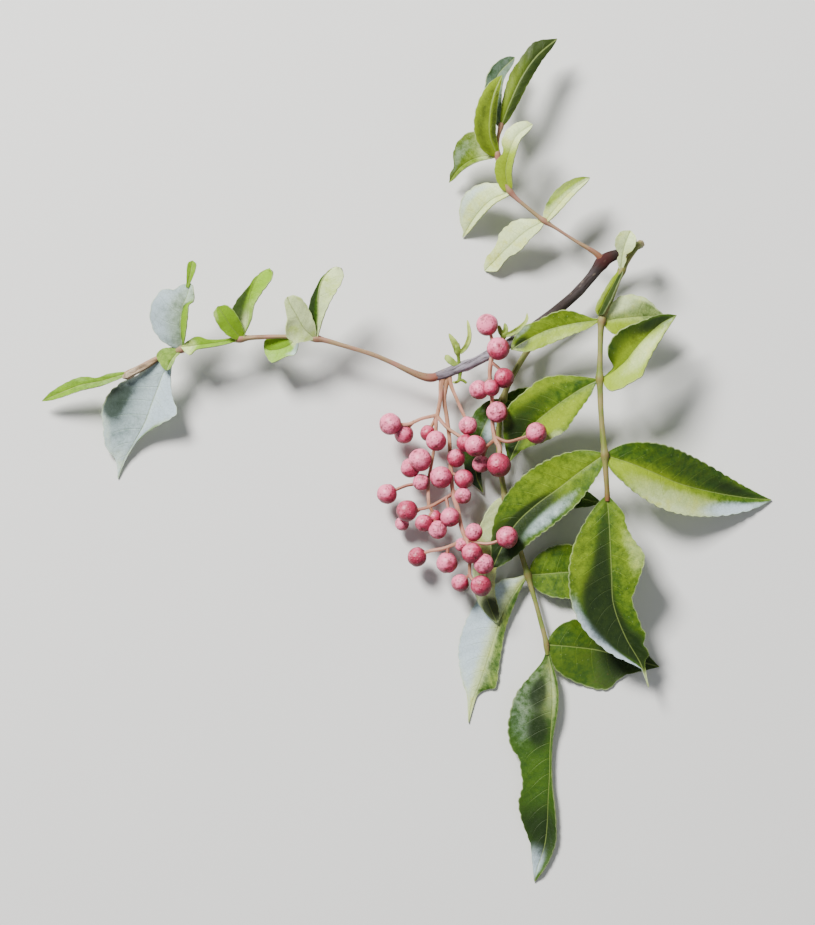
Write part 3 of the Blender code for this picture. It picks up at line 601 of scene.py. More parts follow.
@dataclass(frozen=True)
class BudFinish:
    """Young growth: green, paler towards the tips of its scales, with a darker grain."""

    name: str
    green: Colour = srgb(98, 124, 30)
    pale: Colour = srgb(172, 190, 88)
    dark: Colour = srgb(50, 66, 20)

    def material(self) -> bpy.types.Material:
        """Build the material.

        Returns:
            The material.
        """
        graph = Graph(self.name)
        here = graph.object_place()
        cloud = graph.noise(here, size=1.2, detail=4.0)
        grain = graph.noise(here, size=0.3, detail=3.0, rough=0.7)
        pale = (graph.value("pale") + (cloud - 0.5)).ramp(0.2, 0.9)
        colour = graph.mix(pale, self.green, self.pale)
        colour = graph.mix(grain.ramp(0.55, 0.8) * 0.5, colour, self.dark)
        return graph.finish(colour, 0.5 + grain * 0.2, grain, depth=0.06, specular=0.45)


@dataclass(frozen=True)
class FloorFinish:
    """Pale matt floor with the faintest unevenness."""

    name: str = "studio_floor"
    light: Colour = (0.80, 0.80, 0.79)
    shade: Colour = (0.76, 0.76, 0.755)

    def material(self) -> bpy.types.Material:
        """Build the material.

        Returns:
            The material.
        """
        graph = Graph(self.name)
        cloud = graph.noise(graph.object_place(), size=60.0, detail=2.0)
        colour = graph.mix(cloud, self.light, self.shade)
        return graph.finish(colour, 0.9, cloud, depth=0.01, specular=0.2)


class Tone(Enum):
    """What a patch of a leaflet turns to: yellow-green or pale, partly its own colour and partly
    painted light, a painted bluish sheen, or painted shade.
    """

    YELLOW_AND_LIT = "yellow"
    PALE = "pale"
    COOL_SHEEN = "cool"
    DARK_AND_SHADE = "deep"


@dataclass(frozen=True)
class Patch:
    """A soft patch on a leaflet, which mostly paints light, sheen or shade on it.

    at is its place as a share of the length, and side as a share of the half width, left of the
    midrib over 0. long and wide are its reach in the same shares.
    """

    tone: Tone
    at: float
    side: float
    long: float
    wide: float
    amount: float

    def strength(self, along: np.ndarray, side: np.ndarray) -> np.ndarray:
        """How strong the patch is at each place."""
        away = ((along - self.at) / self.long) ** 2 + ((side - self.side) / self.wide) ** 2
        return self.amount * np.exp(-(away**PATCH_EDGE))


@dataclass(frozen=True)
class Look:
    """Tones of a leaflet all over, and its patches, which paint light, sheen and shade as well as
    its own colour.
    """

    yellow: float = 0.2
    pale: float = 0.0
    cool: float = 0.0
    deep: float = 0.0
    patches: tuple[Patch, ...] = ()

    def tones(self, along: np.ndarray, side: np.ndarray) -> Numbers:
        """Strength of each tone.

        Args:
            along: share of the length at each place.
            side: share of the half width there, over 0 left of the midrib.

        Returns:
            The strengths there, by name of the tone.
        """
        found = {tone.value: np.full(along.shape, getattr(self, tone.value)) for tone in Tone}
        for patch in self.patches:
            found[patch.tone.value] += patch.strength(along, side)
        return found


@dataclass(frozen=True)
class Half:
    """One half of a leaflet, from the midrib to the margin, as seen from above.

    width is the plan width at its widest, and widest is where that is, as a share of the
    length. A low fullness makes the outline blunt. lift is how far the margin stands over the
    midrib. dent narrows the outline by that share around dent_at. Where the outline is less
    regular than that, margin gives points of it from base to tip instead.
    """

    width: float
    widest: float = 0.42
    fullness: float = 0.7
    lift: float = 0.8
    dent_at: float = 0.5
    dent: float = 0.0
    margin: tuple[Point, ...] = ()

    def reach(self, rib: np.ndarray, sideways: np.ndarray,
              tail: float) -> tuple[np.ndarray, np.ndarray]:
        """How the half spreads from the midrib.

        Args:
            rib: points of the midrib, evenly spaced.
            sideways: level direction from the midrib to this half at each.
            tail: share of the length that the drawn-out tip takes.

        Returns:
            The level step from the midrib to the margin, and the share of the greatest width.
        """
        along = np.linspace(0, 1, len(rib))
        stem = RIB_HALF_WIDTH * np.clip((STEM_END - along) / STEM_TAPER, 0.0, 1.0)
        if not self.margin:
            share = self.share(along, tail)
            return sideways[:, :2] * (stem + self.width * share)[:, None], share
        base, tip = (rib[end, :2] + sideways[end, :2] * stem[end] for end in (0, -1))
        path = np.vstack([base, np.array(self.margin), tip])
        level = np.column_stack([path, np.zeros(len(path))])
        step = points_along(tuple(map(tuple, level)), len(rib))[:, :2] - rib[:, :2]
        share = np.linalg.norm(step, axis=1) / max(self.width, LEAST_WIDTH)
        return step, np.clip(share, 0.0, 1.0)

    def share(self, along: np.ndarray, tail: float) -> np.ndarray:
        """Outline of the half without given margin points.

        Args:
            along: shares of the length.
            tail: share of the length that the drawn-out tip takes.

        Returns:
            The share of the greatest width at each.
        """
        reach = np.clip(along / (1.0 - tail), 0.0, 1.0)
        towards_tip = self.fullness * (1.0 - self.widest) / self.widest
        body = (reach / self.widest) ** self.fullness
        body = body * ((1.0 - reach) / (1.0 - self.widest)) ** towards_tip
        return body * (1.0 - self.dent * hump(along - self.dent_at, DENT_REACH))


def hump(away: Union[np.ndarray, float], reach: float) -> Union[np.ndarray, float]:
    """1 at no distance, falling smoothly to almost nothing at twice the reach."""
    return np.exp(-((away / reach) ** 2))


def stretches(share: np.ndarray, table: tuple[Point, ...]) -> np.ndarray:
    """Strength at shares of a length, from a table of place, reach and strength."""
    return sum(strength * hump(share - place, reach) for place, reach, strength in table)


def points_along(points: tuple[Point, ...], count: int) -> np.ndarray:
    """Follow the smooth curve through points.

    Args:
        points: x, y, z and whatever else each carries.
        count: how many points are wanted.

    Returns:
        Evenly spaced points of the curve, with what they carry.
    """
    knots = np.array(points, float)
    padded = np.vstack([2 * knots[0] - knots[1], knots, 2 * knots[-1] - knots[-2]])
    fine = [knots[0]]
    for before, start, end, after in zip(padded, padded[1:], padded[2:], padded[3:]):
        squared = 2 * before - 5 * start + 4 * end - after
        cubed = 3 * start - before - 3 * end + after
        for step in range(1, CURVE_STEPS + 1):
            share = step / CURVE_STEPS
            bend = squared * share**2 + cubed * share**3
            fine.append(0.5 * (2 * start + (end - before) * share + bend))
    fine = np.array(fine)
    steps = np.linalg.norm(np.diff(fine[:, :3], axis=0), axis=1)
    travelled = np.concatenate([[0.0], np.cumsum(steps)]) / steps.sum()
    wanted = np.linspace(0.0, 1.0, count)
    return np.column_stack([np.interp(wanted, travelled, column) for column in fine.T])


def length_of(points: tuple[Point, ...]) -> float:
    """Length of the straight runs between points."""
    places = np.array(points, float)[:, :3]
    return float(np.linalg.norm(np.diff(places, axis=0), axis=1).sum())


def unit(vector: np.ndarray) -> np.ndarray:
    """The vector at length one."""
    return vector / np.linalg.norm(vector)


def surface_normals(grid: np.ndarray) -> np.ndarray:
    """Unit normals of a grid of points, averaged over the cells round each."""
    normals = np.cross(np.gradient(grid, axis=0), np.gradient(grid, axis=1))
    return normals / np.maximum(np.linalg.norm(normals, axis=2, keepdims=True), 1e-9)


@dataclass(frozen=True)
class Box:
    """The frame's box, in metres."""

    low: np.ndarray
    high: np.ndarray

    def kept_inside(self, points: np.ndarray) -> np.ndarray:
        """The points, with any outside moved onto the box."""
        return np.clip(points, self.low, self.high)


@dataclass
class Draft:
    """Vertices in millimetres, faces, and numbers at each vertex, that become one mesh."""

    vertices: list[np.ndarray] = field(default_factory=list)
    faces: list[tuple[int, ...]] = field(default_factory=list)
    values: dict[str, list[np.ndarray]] = field(default_factory=dict)
    count: int = 0

    def add(self, vertices: np.ndarray, faces: list[tuple[int, ...]], values: Numbers) -> None:
        """Take in one more shape.

        Args:
            vertices: its points in millimetres.
            faces: its faces, counted from its own first vertex.
            values: its numbers at each vertex, with the same names for every shape.
        """
        self.faces += [tuple(corner + self.count for corner in face) for face in faces]
        self.vertices.append(vertices)
        for name, numbers in values.items():
            self.values.setdefault(name, []).append(np.asarray(numbers, float).reshape(-1))
        self.count += len(vertices)

    def place(self, name: str, material: bpy.types.Material, node: str, box: Box) -> None:
        """Make the object, in place of a node of the frame.

        Args:
            name: name of the piece.
            material: its finish.
            node: the node that it stands for.
            box: what it must stay inside.
        """
        mesh = bpy.data.meshes.new(name)
        mesh.from_pydata(box.kept_inside(np.vstack(self.vertices) * MM), [], self.faces)
        for label, parts in self.values.items():
            layer = mesh.attributes.new(label, "FLOAT", "POINT")
            layer.data.foreach_set("value", np.concatenate(parts).astype(np.float32))
        mesh.materials.append(material)
        mesh.shade_smooth()
        mesh.set_sharp_from_angle(angle=SHARP_ANGLE)
        thing = bpy.data.objects.new(name, mesh)
        bpy.context.scene.collection.objects.link(thing)
        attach(thing, BODY)
        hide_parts(node)
        LOG.info("%s: %d faces for %s", name, len(self.faces), node)


@dataclass(frozen=True)
class Leaflet:
    """A leaflet: the points of its midrib, base to tip, and its halves left and right of it.

    tail is the share of the length that a drawn-out tip takes.
    """

    rib: tuple[Point, ...]
    left: Half
    right: Half
    tail: float = 0.0
    look: Look = Look()

    def middle(self, seed: float) -> tuple[np.ndarray, Numbers]:
        """Middle surface of the blade.

        Args:
            seed: what sets the waves and cells of this leaflet apart from the others'.

        Returns:
            A grid of points, base to tip and right margin to left, and the numbers there.
        """
        length = length_of(self.rib)
        rows = max(BLADE_ROWS, round(length / BLADE_CELL))
        rib = points_along(self.rib, rows)
        run = np.gradient(rib, axis=0)
        level = np.hypot(run[:, 0], run[:, 1])
        sideways = np.column_stack([-run[:, 1] / level, run[:, 0] / level, np.zeros(rows)])
        along, side = np.meshgrid(np.linspace(0, 1, rows), self._columns(), indexing="ij")
        left, out = side > 0, np.abs(side)
        left_step, left_share = self.left.reach(rib, sideways, self.tail)
        right_step, right_share = self.right.reach(rib, -sideways, self.tail)
        step = np.where(left[:, :, None], left_step[:, None, :], right_step[:, None, :])
        share = np.where(left, left_share[:, None], right_share[:, None])
        width = np.linalg.norm(step, axis=2)
        lift = np.where(left, self.left.lift, self.right.lift)
        phase = self._vein_phase(along, side, length, seed)
        rise = lift * share**LIFT_ALONG * out**LIFT_ACROSS
        rise += self._relief(along, side, phase, width, seed)
        spread = out * self._toothed(along, side, length, width)
        grid = np.repeat(rib[:, None, :], len(side[0]), axis=1)
        grid[:, :, :2] += step * spread[:, :, None]
        grid[:, :, 2] = np.maximum(grid[:, :, 2] + rise, SOLID_THICKNESS / 2)
        values = {"along": along * length, "across": width * spread * np.sign(side)}
        values.update({"side": side, "veins": phase, "margin": out * (share > LEAST_SHARE)})
        values["seed"] = np.full(along.shape, seed * SEED_SPREAD)
        # Tones at each vertex, with painted light, sheen and shade.
        values.update(self.look.tones(along, side))
        return grid, values

    @staticmethod
    def _columns() -> np.ndarray:
        """Shares of the half width at which the grid has its columns, closer at the midrib."""
        even = np.linspace(-1, 1, BLADE_COLUMNS + 1)
        return np.sign(even) * np.abs(even) ** COLUMN_CROWDING

    @staticmethod
    def _vein_phase(along: np.ndarray, side: np.ndarray, length: float, seed: float) -> np.ndarray:
        """Count of side veins, swept towards the tip.

        Args:
            along: share of the length at each place.
            side: share of the half width there, over 0 left of the midrib.
            length: length of the leaflet.
            seed: what sets its waves apart from the others'.

        Returns:
            A number that passes a whole one and a half on each side vein.
        """
        count = max(LEAST_VEINS, length / VEIN_PITCH)
        shift = VEIN_STAGGER * (side > 0) + VEIN_WAVE * np.sin(5.0 * along + seed)
        return count * (along - VEIN_SWEEP * np.abs(side) ** VEIN_BEND) + shift + FIRST_VEIN

    @staticmethod
    def _toothed(along: np.ndarray, side: np.ndarray, length: float,
                 width: np.ndarray) -> np.ndarray:
        """Rounded teeth of the margin, with sharp notches.

        Args:
            along: share of the length at each place.
            side: share of the half width there, over 0 left of the midrib.
            length: length of the leaflet.
            width: half width there.

        Returns:
            What the width is times.
        """
        teeth = max(LEAST_TEETH, round(length / TOOTH_PITCH))
        uneven = along + TOOTH_WAVE * np.sin(11.0 * along + 3.0 * (side > 0))
        lobe = np.abs(np.sin(math.pi * teeth * uneven)) ** TOOTH_BLUNTNESS
        depth = TOOTH_DEPTH * np.clip(width / TOOTH_FULL_WIDTH, 0.25, 1.0)
        depth = depth / np.maximum(width, TOOTH_LEAST_WIDTH)
        outer = np.abs(side) ** TOOTH_INSET * (along > TOOTH_START)
        return 1.0 - depth * (1.0 - lobe) * outer

    @staticmethod
    def _relief(along: np.ndarray, side: np.ndarray, phase: np.ndarray, width: np.ndarray,
                seed: float) -> np.ndarray:
        """Swell between veins, groove over the midrib and waved margin.

        Args:
            along: share of the length at each place.
            side: share of the half width there, over 0 left of the midrib.
            phase: count of side veins there.
            width: half width there.
            seed: what sets its waves apart from the others'.

        Returns:
            The height there.
        """
        out = np.abs(side)
        firm = np.clip(width / FIRM_WIDTH, 0.0, 1.0)
        swell = QUILTING * (0.5 + 0.5 * np.cos(2 * math.pi * phase)) * out * (1.3 - out)
        groove = RIB_GROOVE * hump(out * np.maximum(width, LEAST_WIDTH), GROOVE_REACH)
        wave = np.sin(9.0 * along + seed) + 0.6 * np.sin(17.0 * along + 2.1 * seed + 2.0 * side)
        return firm * (swell - groove + MARGIN_WAVE * wave * out**WAVE_ACROSS)

    def add_to(self, draft: Draft, seed: float) -> None:
        """Add the closed blade: two faces and a rim between them.

        Args:
            draft: what it is added to.
            seed: what sets its waves and cells apart from the others'.
        """
        grid, values = self.middle(seed)
        rows, columns = grid.shape[:2]
        offset = surface_normals(grid) * BLADE_THICKNESS / 2
        top = np.arange(rows * columns).reshape(rows, columns)
        below = top + rows * columns
        faces = []
        for r in range(rows - 1):
            for c in range(columns - 1):
                faces.append((top[r, c], top[r + 1, c], top[r + 1, c + 1], top[r, c + 1]))
                faces.append((below[r, c], below[r, c + 1], below[r + 1, c + 1], below[r + 1, c]))
        rim = [(r, 0) for r in range(rows)]
        rim += [(rows - 1, c) for c in range(1, columns)]
        rim += [(r, columns - 1) for r in range(rows - 2, -1, -1)]
        rim += [(0, c) for c in range(columns - 2, 0, -1)]
        for here, ahead in zip(rim, rim[1:] + rim[:1]):
            faces.append((top[here], below[here], below[ahead], top[ahead]))
        vertices = np.vstack([(grid + offset).reshape(-1, 3), (grid - offset).reshape(-1, 3)])
        doubled = {name: np.tile(numbers.reshape(-1), 2) for name, numbers in values.items()}
        doubled["under"] = np.repeat([0.0, 1.0], rows * columns)
        draft.add(vertices, faces, doubled)


def ring_faces(rings: int, sides: int) -> list[tuple[int, ...]]:
    """Faces between rings of vertices.

    Args:
        rings: number of rings.
        sides: number of vertices in a ring.

    Returns:
        The faces.
    """
    faces = []
    for ring in range(rings - 1):
        for side in range(sides):
            a = ring * sides + side
            b = ring * sides + (side + 1) % sides
            faces.append((a, b, b + sides, a + sides))
    return faces


@dataclass(frozen=True)
class Rod:
    """A closed round rod through points of x, y, z and radius, ridged along its length.

    spacing is the distance between its rings, ridges and slim are shares of the radius, and
    swell gives places along it and by what share of the radius it swells there.
    """

    points: tuple[Point, ...]
    sides: int
    spacing: float
    ridges: float
    swell: tuple[Point, ...] = ()
    slim: float = 1.0

    def add_to(self, draft: Draft, seed: float, tones: Tones) -> None:
        """Add the rod to a draft.

        Args:
            draft: what it is added to.
            seed: what sets its ridges apart from another's.
            tones: gives its other numbers from the share of its length.
        """
        length = length_of(self.points)
        rings = max(LEAST_RINGS, round(length / self.spacing) + 1)
        path = points_along(self.points, rings)
        runs = np.gradient(path[:, :3], axis=0)
        shares = np.linspace(0, 1, rings)
        across = unit(np.cross(runs[0], OFF_LINE))
        angles = np.arange(self.sides) * 2 * math.pi / self.sides
        sizes, outs = (list(column) for column in zip(*END_RINGS))
        order = [0] * len(sizes) + list(range(rings)) + [rings - 1] * len(sizes)
        core = np.array(sizes + [1.0] * rings + sizes[::-1])
        dome = [-out for out in outs] + [0.0] * rings + outs[::-1]
        vertices = []
        for at, size, out in zip(order, core, dome):
            run = unit(runs[at])
            across = unit(across - run * across.dot(run))
            upward = np.cross(run, across)
            thick = path[at, 3] * self.slim
            radius = thick * size * self._fullness(angles, shares[at] * length, seed)
            ring = np.outer(np.cos(angles) * radius, across)
            ring += np.outer(np.sin(angles) * radius, upward)
            vertices.append(path[at, :3] + run * out * thick + ring)
        share = np.repeat(shares[order], self.sides)
        around = np.tile(angles, len(order)) * np.repeat(path[order, 3], self.sides)
        values = {"along": share * length, "around": around, "core": np.repeat(core, self.sides)}
        values["seed"] = np.full(share.shape, seed)
        values.update(tones(share))
        last = range((len(order) - 1) * self.sides, len(order) * self.sides)
        faces = [tuple(reversed(range(self.sides))), tuple(last)]
        draft.add(np.vstack(vertices), faces + ring_faces(len(order), self.sides), values)

    def _fullness(self, angles: np.ndarray, along: float, seed: float) -> np.ndarray:
        """Ridges and swellings round one ring.

        Args:
            angles: angles round the ring.
            along: its distance along the rod.
            seed: what sets the ridges apart from another rod's.

        Returns:
            What the radius is times.
        """
        ripple = self.ridges * np.sin(5 * angles + seed + 0.12 * along)
        ripple += 0.5 * self.ridges * np.sin(3 * angles + 0.9 * along + 2 * seed)
        extra = sum(size * hump(along - at, SWELL_REACH) for at, size in self.swell)
        return 1.0 - self.ridges + ripple + extra


@dataclass(frozen=True)
class Berry:
    """A small round fruit with a shallow seam, a withered point and a ring of calyx."""

    centre: np.ndarray
    radius: float
    foot: np.ndarray
    tone: float

    def add_to(self, draft: Draft) -> None:
        """Add the berry.

        Args:
            draft: what it is added to.
        """
        axis = unit(self.centre - self.foot)
        side = unit(np.cross(axis, OFF_LINE))
        third = np.cross(axis, side)
        turn = self.tone * 2 * math.pi
        vertices, scars = [], []
        for ring in range(BERRY_RINGS + 1):
            tilt = math.pi * ring / BERRY_RINGS
            for segment in range(BERRY_SEGMENTS):
                angle = 2 * math.pi * segment / BERRY_SEGMENTS
                radius, scar = self._radius(tilt, angle - turn)
                sideways = side * math.cos(angle) + third * math.sin(angle)
                outward = sideways * math.sin(tilt) - axis * math.cos(tilt)
                vertices.append(self.centre + radius * outward)
                scars.append(scar)
        vertices = np.array(vertices)
        # Painted light: how far each point faces the key light, painted pale pink there and maroon
        # on the far side.
        lit_side = (vertices - self.centre) @ unit(np.array(PAINTED_LIGHT_SIDE)) / self.radius * 0.5 + 0.5
        tone = np.full(len(vertices), self.tone)
        faces = ring_faces(BERRY_RINGS + 1, BERRY_SEGMENTS)
        draft.add(vertices, faces, {"lit_side": lit_side, "tone": tone, "scar": np.array(scars)})

    def _radius(self, tilt: float, angle: float) -> tuple[float, float]:
        """Surface at one place.

        Args:
            tilt: angle from the foot.
            angle: angle round the axis, from the seam.

        Returns:
            The radius and the share of scar.
        """
        seam = hump(math.sin(angle / 2) * 2 * math.sin(tilt), SEAM_WIDTH) * (tilt > SEAM_START)
        point = hump(math.pi - tilt, POINT_WIDTH)
        calyx = hump(tilt - CALYX_TILT, CALYX_WIDTH)
        wobble = WOBBLE_AROUND * math.sin(2 * angle + 5 * tilt)
        wobble += WOBBLE_ALONG * math.sin(3 * tilt + 4 * self.tone)
        body = BERRY_BODY + wobble - SEAM_DEPTH * seam - POINT_DEPTH * point
        scar = POINT_SCAR * point + CALYX_SCAR * calyx + SEAM_SCAR * seam
        return self.radius * (body + CALYX_HEIGHT * calyx), min(1.0, scar)


@dataclass(frozen=True)
class CompoundLeaf:
    """A compound leaf: the stalk that carries the leaflets, as x, y, z, radius, and these."""

    name: str
    rachis: tuple[Point, ...]
    leaflets: tuple[Leaflet, ...]
    seed: float
    ruddy_foot: float
    ruddy_tip: float
    slim: float
    stalk: StalkFinish
    blade: LeafFinish
    husk: tuple[Point, ...] = ()
    husk_finish: BarkFinish | None = None

    def build(self, box: Box) -> None:
        """Make the blades, the stalk and any dry husk on it, in place of the leaf's node.

        Args:
            box: what they stay inside.
        """
        blades = Draft()
        for place, leaflet in enumerate(self.leaflets):
            leaflet.add_to(blades, self.seed + LEAFLET_SEED * place)
        blades.place(self.name + "_blades", self.blade.material(), self.name, box)
        stalk = Draft()
        rod = Rod(self.rachis, sides=16, spacing=0.4, ridges=0.06, swell=self._joints(),
                  slim=self.slim)
        rod.add_to(stalk, self.seed, self._tones)
        stalk.place(self.name + "_stalk", self.stalk.material(), self.name, box)
        if self.husk_finish:
            husk = Draft()
            rod = Rod(self.husk, sides=20, spacing=0.2, ridges=0.14)
            rod.add_to(husk, self.seed, self._husk_tones)
            husk.place(self.name + "_husk", self.husk_finish.material(), self.name, box)

    @staticmethod
    def _husk_tones(share: np.ndarray) -> Numbers:
        """How brown, ruddy and pale the husk is along its length, from its outer end."""
        brown, ruddy = stretches(share, HUSK_BROWN), stretches(share, HUSK_RUDDY)
        return {"brown": brown, "ruddy": ruddy, "lilac": 1.0 - share * HUSK_DARKENING}

    def _joints(self) -> tuple[Point, ...]:
        """Find where leaflets join.

        Returns:
            The distance of each along the stalk, and how far it swells there.
        """
        path = points_along(self.rachis, JOINT_SEARCH)
        length = length_of(self.rachis)
        found = []
        for leaflet in self.leaflets:
            nearest = np.linalg.norm(path[:, :3] - np.array(leaflet.rib[0]), axis=1).argmin()
            found.append((nearest / (JOINT_SEARCH - 1) * length, JOINT_SWELL))
        return tuple(found)

    def _tones(self, share: np.ndarray) -> Numbers:
        """Ruddiness of the stalk: at its foot and tip, and lightly at each joint.

        Args:
            share: shares of its length.

        Returns:
            The ruddiness there.
        """
        length = length_of(self.rachis)
        ruddy = self.ruddy_foot * np.exp(-share * RUDDY_FADE)
        ruddy = ruddy + self.ruddy_tip * np.exp((share - 1.0) * RUDDY_FADE)
        for at, _ in self._joints():
            ruddy = np.maximum(ruddy, JOINT_RUDDY * hump(share * length - at, JOINT_RUDDY_REACH))
        return {"ruddy": ruddy}


@dataclass(frozen=True)
class BerryCluster:
    """A cluster of fruit: branched stalks as x, y, z, radius, and berries as x, y, z, radius."""

    name: str
    stalks: tuple[tuple[Point, ...], ...]
    berries: tuple[Point, ...]
    stalk: StalkFinish
    berry: BerryFinish

    def build(self, box: Box) -> None:
        """Make the stalks and the berries, in place of the cluster's node.

        Args:
            box: what they stay inside.
        """
        stalks = Draft()
        for place, points in enumerate(self.stalks):
            ruddy = FINE_STALK_RUDDY if points[0][3] <= STALK_RADIUS else BRANCH_RUDDY
            rod = Rod(points, sides=12, spacing=0.4, ridges=0.08, slim=0.94)
            rod.add_to(stalks, place * BRANCH_SEED, partial(self._tones, ruddy))
        stalks.place(self.name + "_stalks", self.stalk.material(), self.name, box)
        ends = np.array([end[:3] for points in self.stalks for end in (points[0], points[-1])])
        fruit = Draft()
        for place, (x, y, z, radius) in enumerate(self.berries):
            centre = np.array((x, y, z))
            nearest = ends[np.linalg.norm(ends - centre, axis=1).argmin()]
            tone = (place * TONE_STEP + len(self.name) * TONE_SHIFT) % 1.0
            Berry(centre, radius, nearest + np.array(FOOT_SHIFT), tone).add_to(fruit)
        fruit.place(self.name + "_fruit", self.berry.material(), self.name, box)

    @staticmethod
    def _tones(ruddy: float, share: np.ndarray) -> Numbers:
        """The same ruddiness at every share of the length."""
        return {"ruddy": np.full(share.shape, ruddy)}


@dataclass(frozen=True)
class BudShoot:
    """A bud shoot: a short stalk and body as x, y, z, radius, and the scales round them."""

    name: str
    stalks: tuple[tuple[Point, ...], ...]
    scales: tuple[Leaflet, ...]
    finish: BudFinish

    def build(self, box: Box) -> None:
        """Make the shoot in one piece, in place of its node.

        Args:
            box: what it stays inside.
        """
        draft = Draft()
        for place, points in enumerate(self.stalks):
            body = Draft()
            rod = Rod(points, sides=16, spacing=0.12, ridges=0.07)
            rod.add_to(body, place * BUD_SEED, self._tones)
            draft.add(np.vstack(body.vertices), body.faces, {"pale": body.values["pale"][0]})
        for place, scale in enumerate(self.scales):
            blade = Draft()
            scale.add_to(blade, place * SCALE_SEED)
            pale = 0.35 + 0.4 * blade.values["along"][0] / SCALE_LENGTH
            draft.add(np.vstack(blade.vertices), blade.faces, {"pale": pale})
        draft.place(self.name + "_growth", self.finish.material(), self.name, box)

    @staticmethod
    def _tones(share: np.ndarray) -> Numbers:
        """Paleness of a stalk, which grows towards its tip."""
        return {"pale": 0.2 + 0.3 * share}


@dataclass(frozen=True)
class Twig:
    """The woody twig: x, y, z, radius, and its joints as distance and share of swelling."""

    name: str
    points: tuple[Point, ...]
    joints: tuple[Point, ...]
    finish: BarkFinish

    def build(self, box: Box) -> None:
        """Make the twig, in place of its node.

        Args:
            box: what it stays inside.
        """
        draft = Draft()
        rod = Rod(self.points, sides=28, spacing=0.3, ridges=0.035, swell=self.joints)
        rod.add_to(draft, TWIG_SEED, self._tones)
        draft.place(self.name + "_bark", self.finish.material(), self.name, box)

    @staticmethod
    def _tones(share: np.ndarray) -> Numbers:
        """Brown, ruddy and lilac stretches.

        Args:
            share: shares of the length, from the cut end.

        Returns:
            The three strengths there.
        """
        brown, ruddy = stretches(share, TWIG_BROWN), stretches(share, TWIG_RUDDY)
        lilac = np.clip((share - TWIG_LILAC_START) / TWIG_LILAC_RISE, 0.0, 1.0)
        return {"brown": brown, "ruddy": ruddy, "lilac": lilac}


@dataclass(frozen=True)
class Lamp:
    """A square area light that faces the sprig."""

    name: str
    place: Point
    size: float
    power: float
    colour: Colour

    def build(self) -> None:
        """Hang the light and turn it to the sprig."""
        data = bpy.data.lights.new(self.name, "AREA")
        data.size = self.size
        data.energy = self.power
        data.color = self.colour
        light = bpy.data.objects.new(self.name, data)
        light.location = self.place
        x, y, z = self.place
        light.rotation_euler = (math.atan2(math.hypot(x, y), z), 0.0, math.atan2(x, -y))
        bpy.context.scene.collection.objects.link(light)


@dataclass(frozen=True)
class Studio:
    """Camera straight above, a pale floor and soft lights, in metres but for the sensor."""

    camera_height: float = 1.6
    sensor: float = 36.0
    focus_height: float = 0.008
    camera_reach: float = 10.0
    floor_size: float = 3.0
    floor_drop: float = 0.00005
    floor: FloorFinish = FloorFinish()
    key: Lamp = Lamp("key", (-0.44, 0.66, 0.80), 0.30, 32.0, (1.0, 0.985, 0.95))
    fill: Lamp = Lamp("fill", (0.70, -0.35, 0.9), 0.9, 2.0, (0.95, 0.97, 1.0))
    surround: Colour = (0.93, 0.96, 1.0)
    surround_strength: float = 0.20

    def build_camera(self) -> None:
        """Set the camera so that a pixel is as large on the sprig as in the photograph."""
        data = bpy.data.cameras.new("camera")
        seen = PHOTO_HEIGHT_PX * MM_PER_PX * MM
        data.lens = self.sensor * self.camera_height / seen
        data.sensor_width = self.sensor
        data.clip_end = self.camera_reach
        camera = bpy.data.objects.new("camera", data)
        x = (PHOTO_WIDTH_PX / 2 - ORIGIN_PX[0]) * MM_PER_PX * MM
        y = (ORIGIN_PX[1] - PHOTO_HEIGHT_PX / 2) * MM_PER_PX * MM
        camera.location = (x, y, self.focus_height + self.camera_height)
        bpy.context.scene.collection.objects.link(camera)
        bpy.context.scene.camera = camera

    def build_lights(self) -> None:
        """Set a large key light at the upper left, a weak fill and a pale surround."""
        self.key.build()
        self.fill.build()
        world = bpy.data.worlds.new("surround")
        world.use_nodes = True
        inputs = world.node_tree.nodes["Background"].inputs
        inputs["Color"].default_value = (*self.surround, 1.0)
        inputs["Strength"].default_value = self.surround_strength
        bpy.context.scene.world = world

    def build_floor(self) -> None:
        """Lay the floor just under the sprig."""
        half = self.floor_size / 2
        mesh = bpy.data.meshes.new("floor")
        corners = [(-half, -half, 0), (half, -half, 0), (half, half, 0), (-half, half, 0)]
        mesh.from_pydata(corners, [], [(0, 1, 2, 3)])
        mesh.materials.append(self.floor.material())
        floor = bpy.data.objects.new("floor", mesh)
        floor.location.z = -self.floor_drop
        bpy.context.scene.collection.objects.link(floor)
        floor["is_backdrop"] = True


def branch(radius: float, *points: Point) -> tuple[Point, ...]:
    """Points of a branch, with this radius where a point gives none."""
    return tuple((*point, radius)[:4] for point in points)


# Finishes
LEAF_BLADE = LeafFinish("leaf_blade")
FRESH_BLADE = LeafFinish("fresh_blade", yellow=srgb(128, 172, 24), cream=srgb(184, 208, 96))
LEAF_STALK_WARM = StalkFinish("leaf_stalk_warm", green=srgb(146, 124, 88), tan=srgb(160, 116, 100))
LEAF_STALK_GREEN = StalkFinish("leaf_stalk_green")
CLUSTER_STALK = StalkFinish(
    "cluster_stalk", green=srgb(166, 122, 92), tan=srgb(196, 142, 124), ruddy=srgb(138, 66, 56),
)
DRY_HUSK = BarkFinish(
    "dry_husk", grey=srgb(146, 120, 88), lilac=srgb(204, 184, 160), brown=srgb(74, 54, 34),
    cork=srgb(196, 180, 150), ruddy=srgb(120, 84, 56),
)
BERRY_SKIN = BerryFinish("berry_skin")
YOUNG_BUD = BudFinish("young_bud")

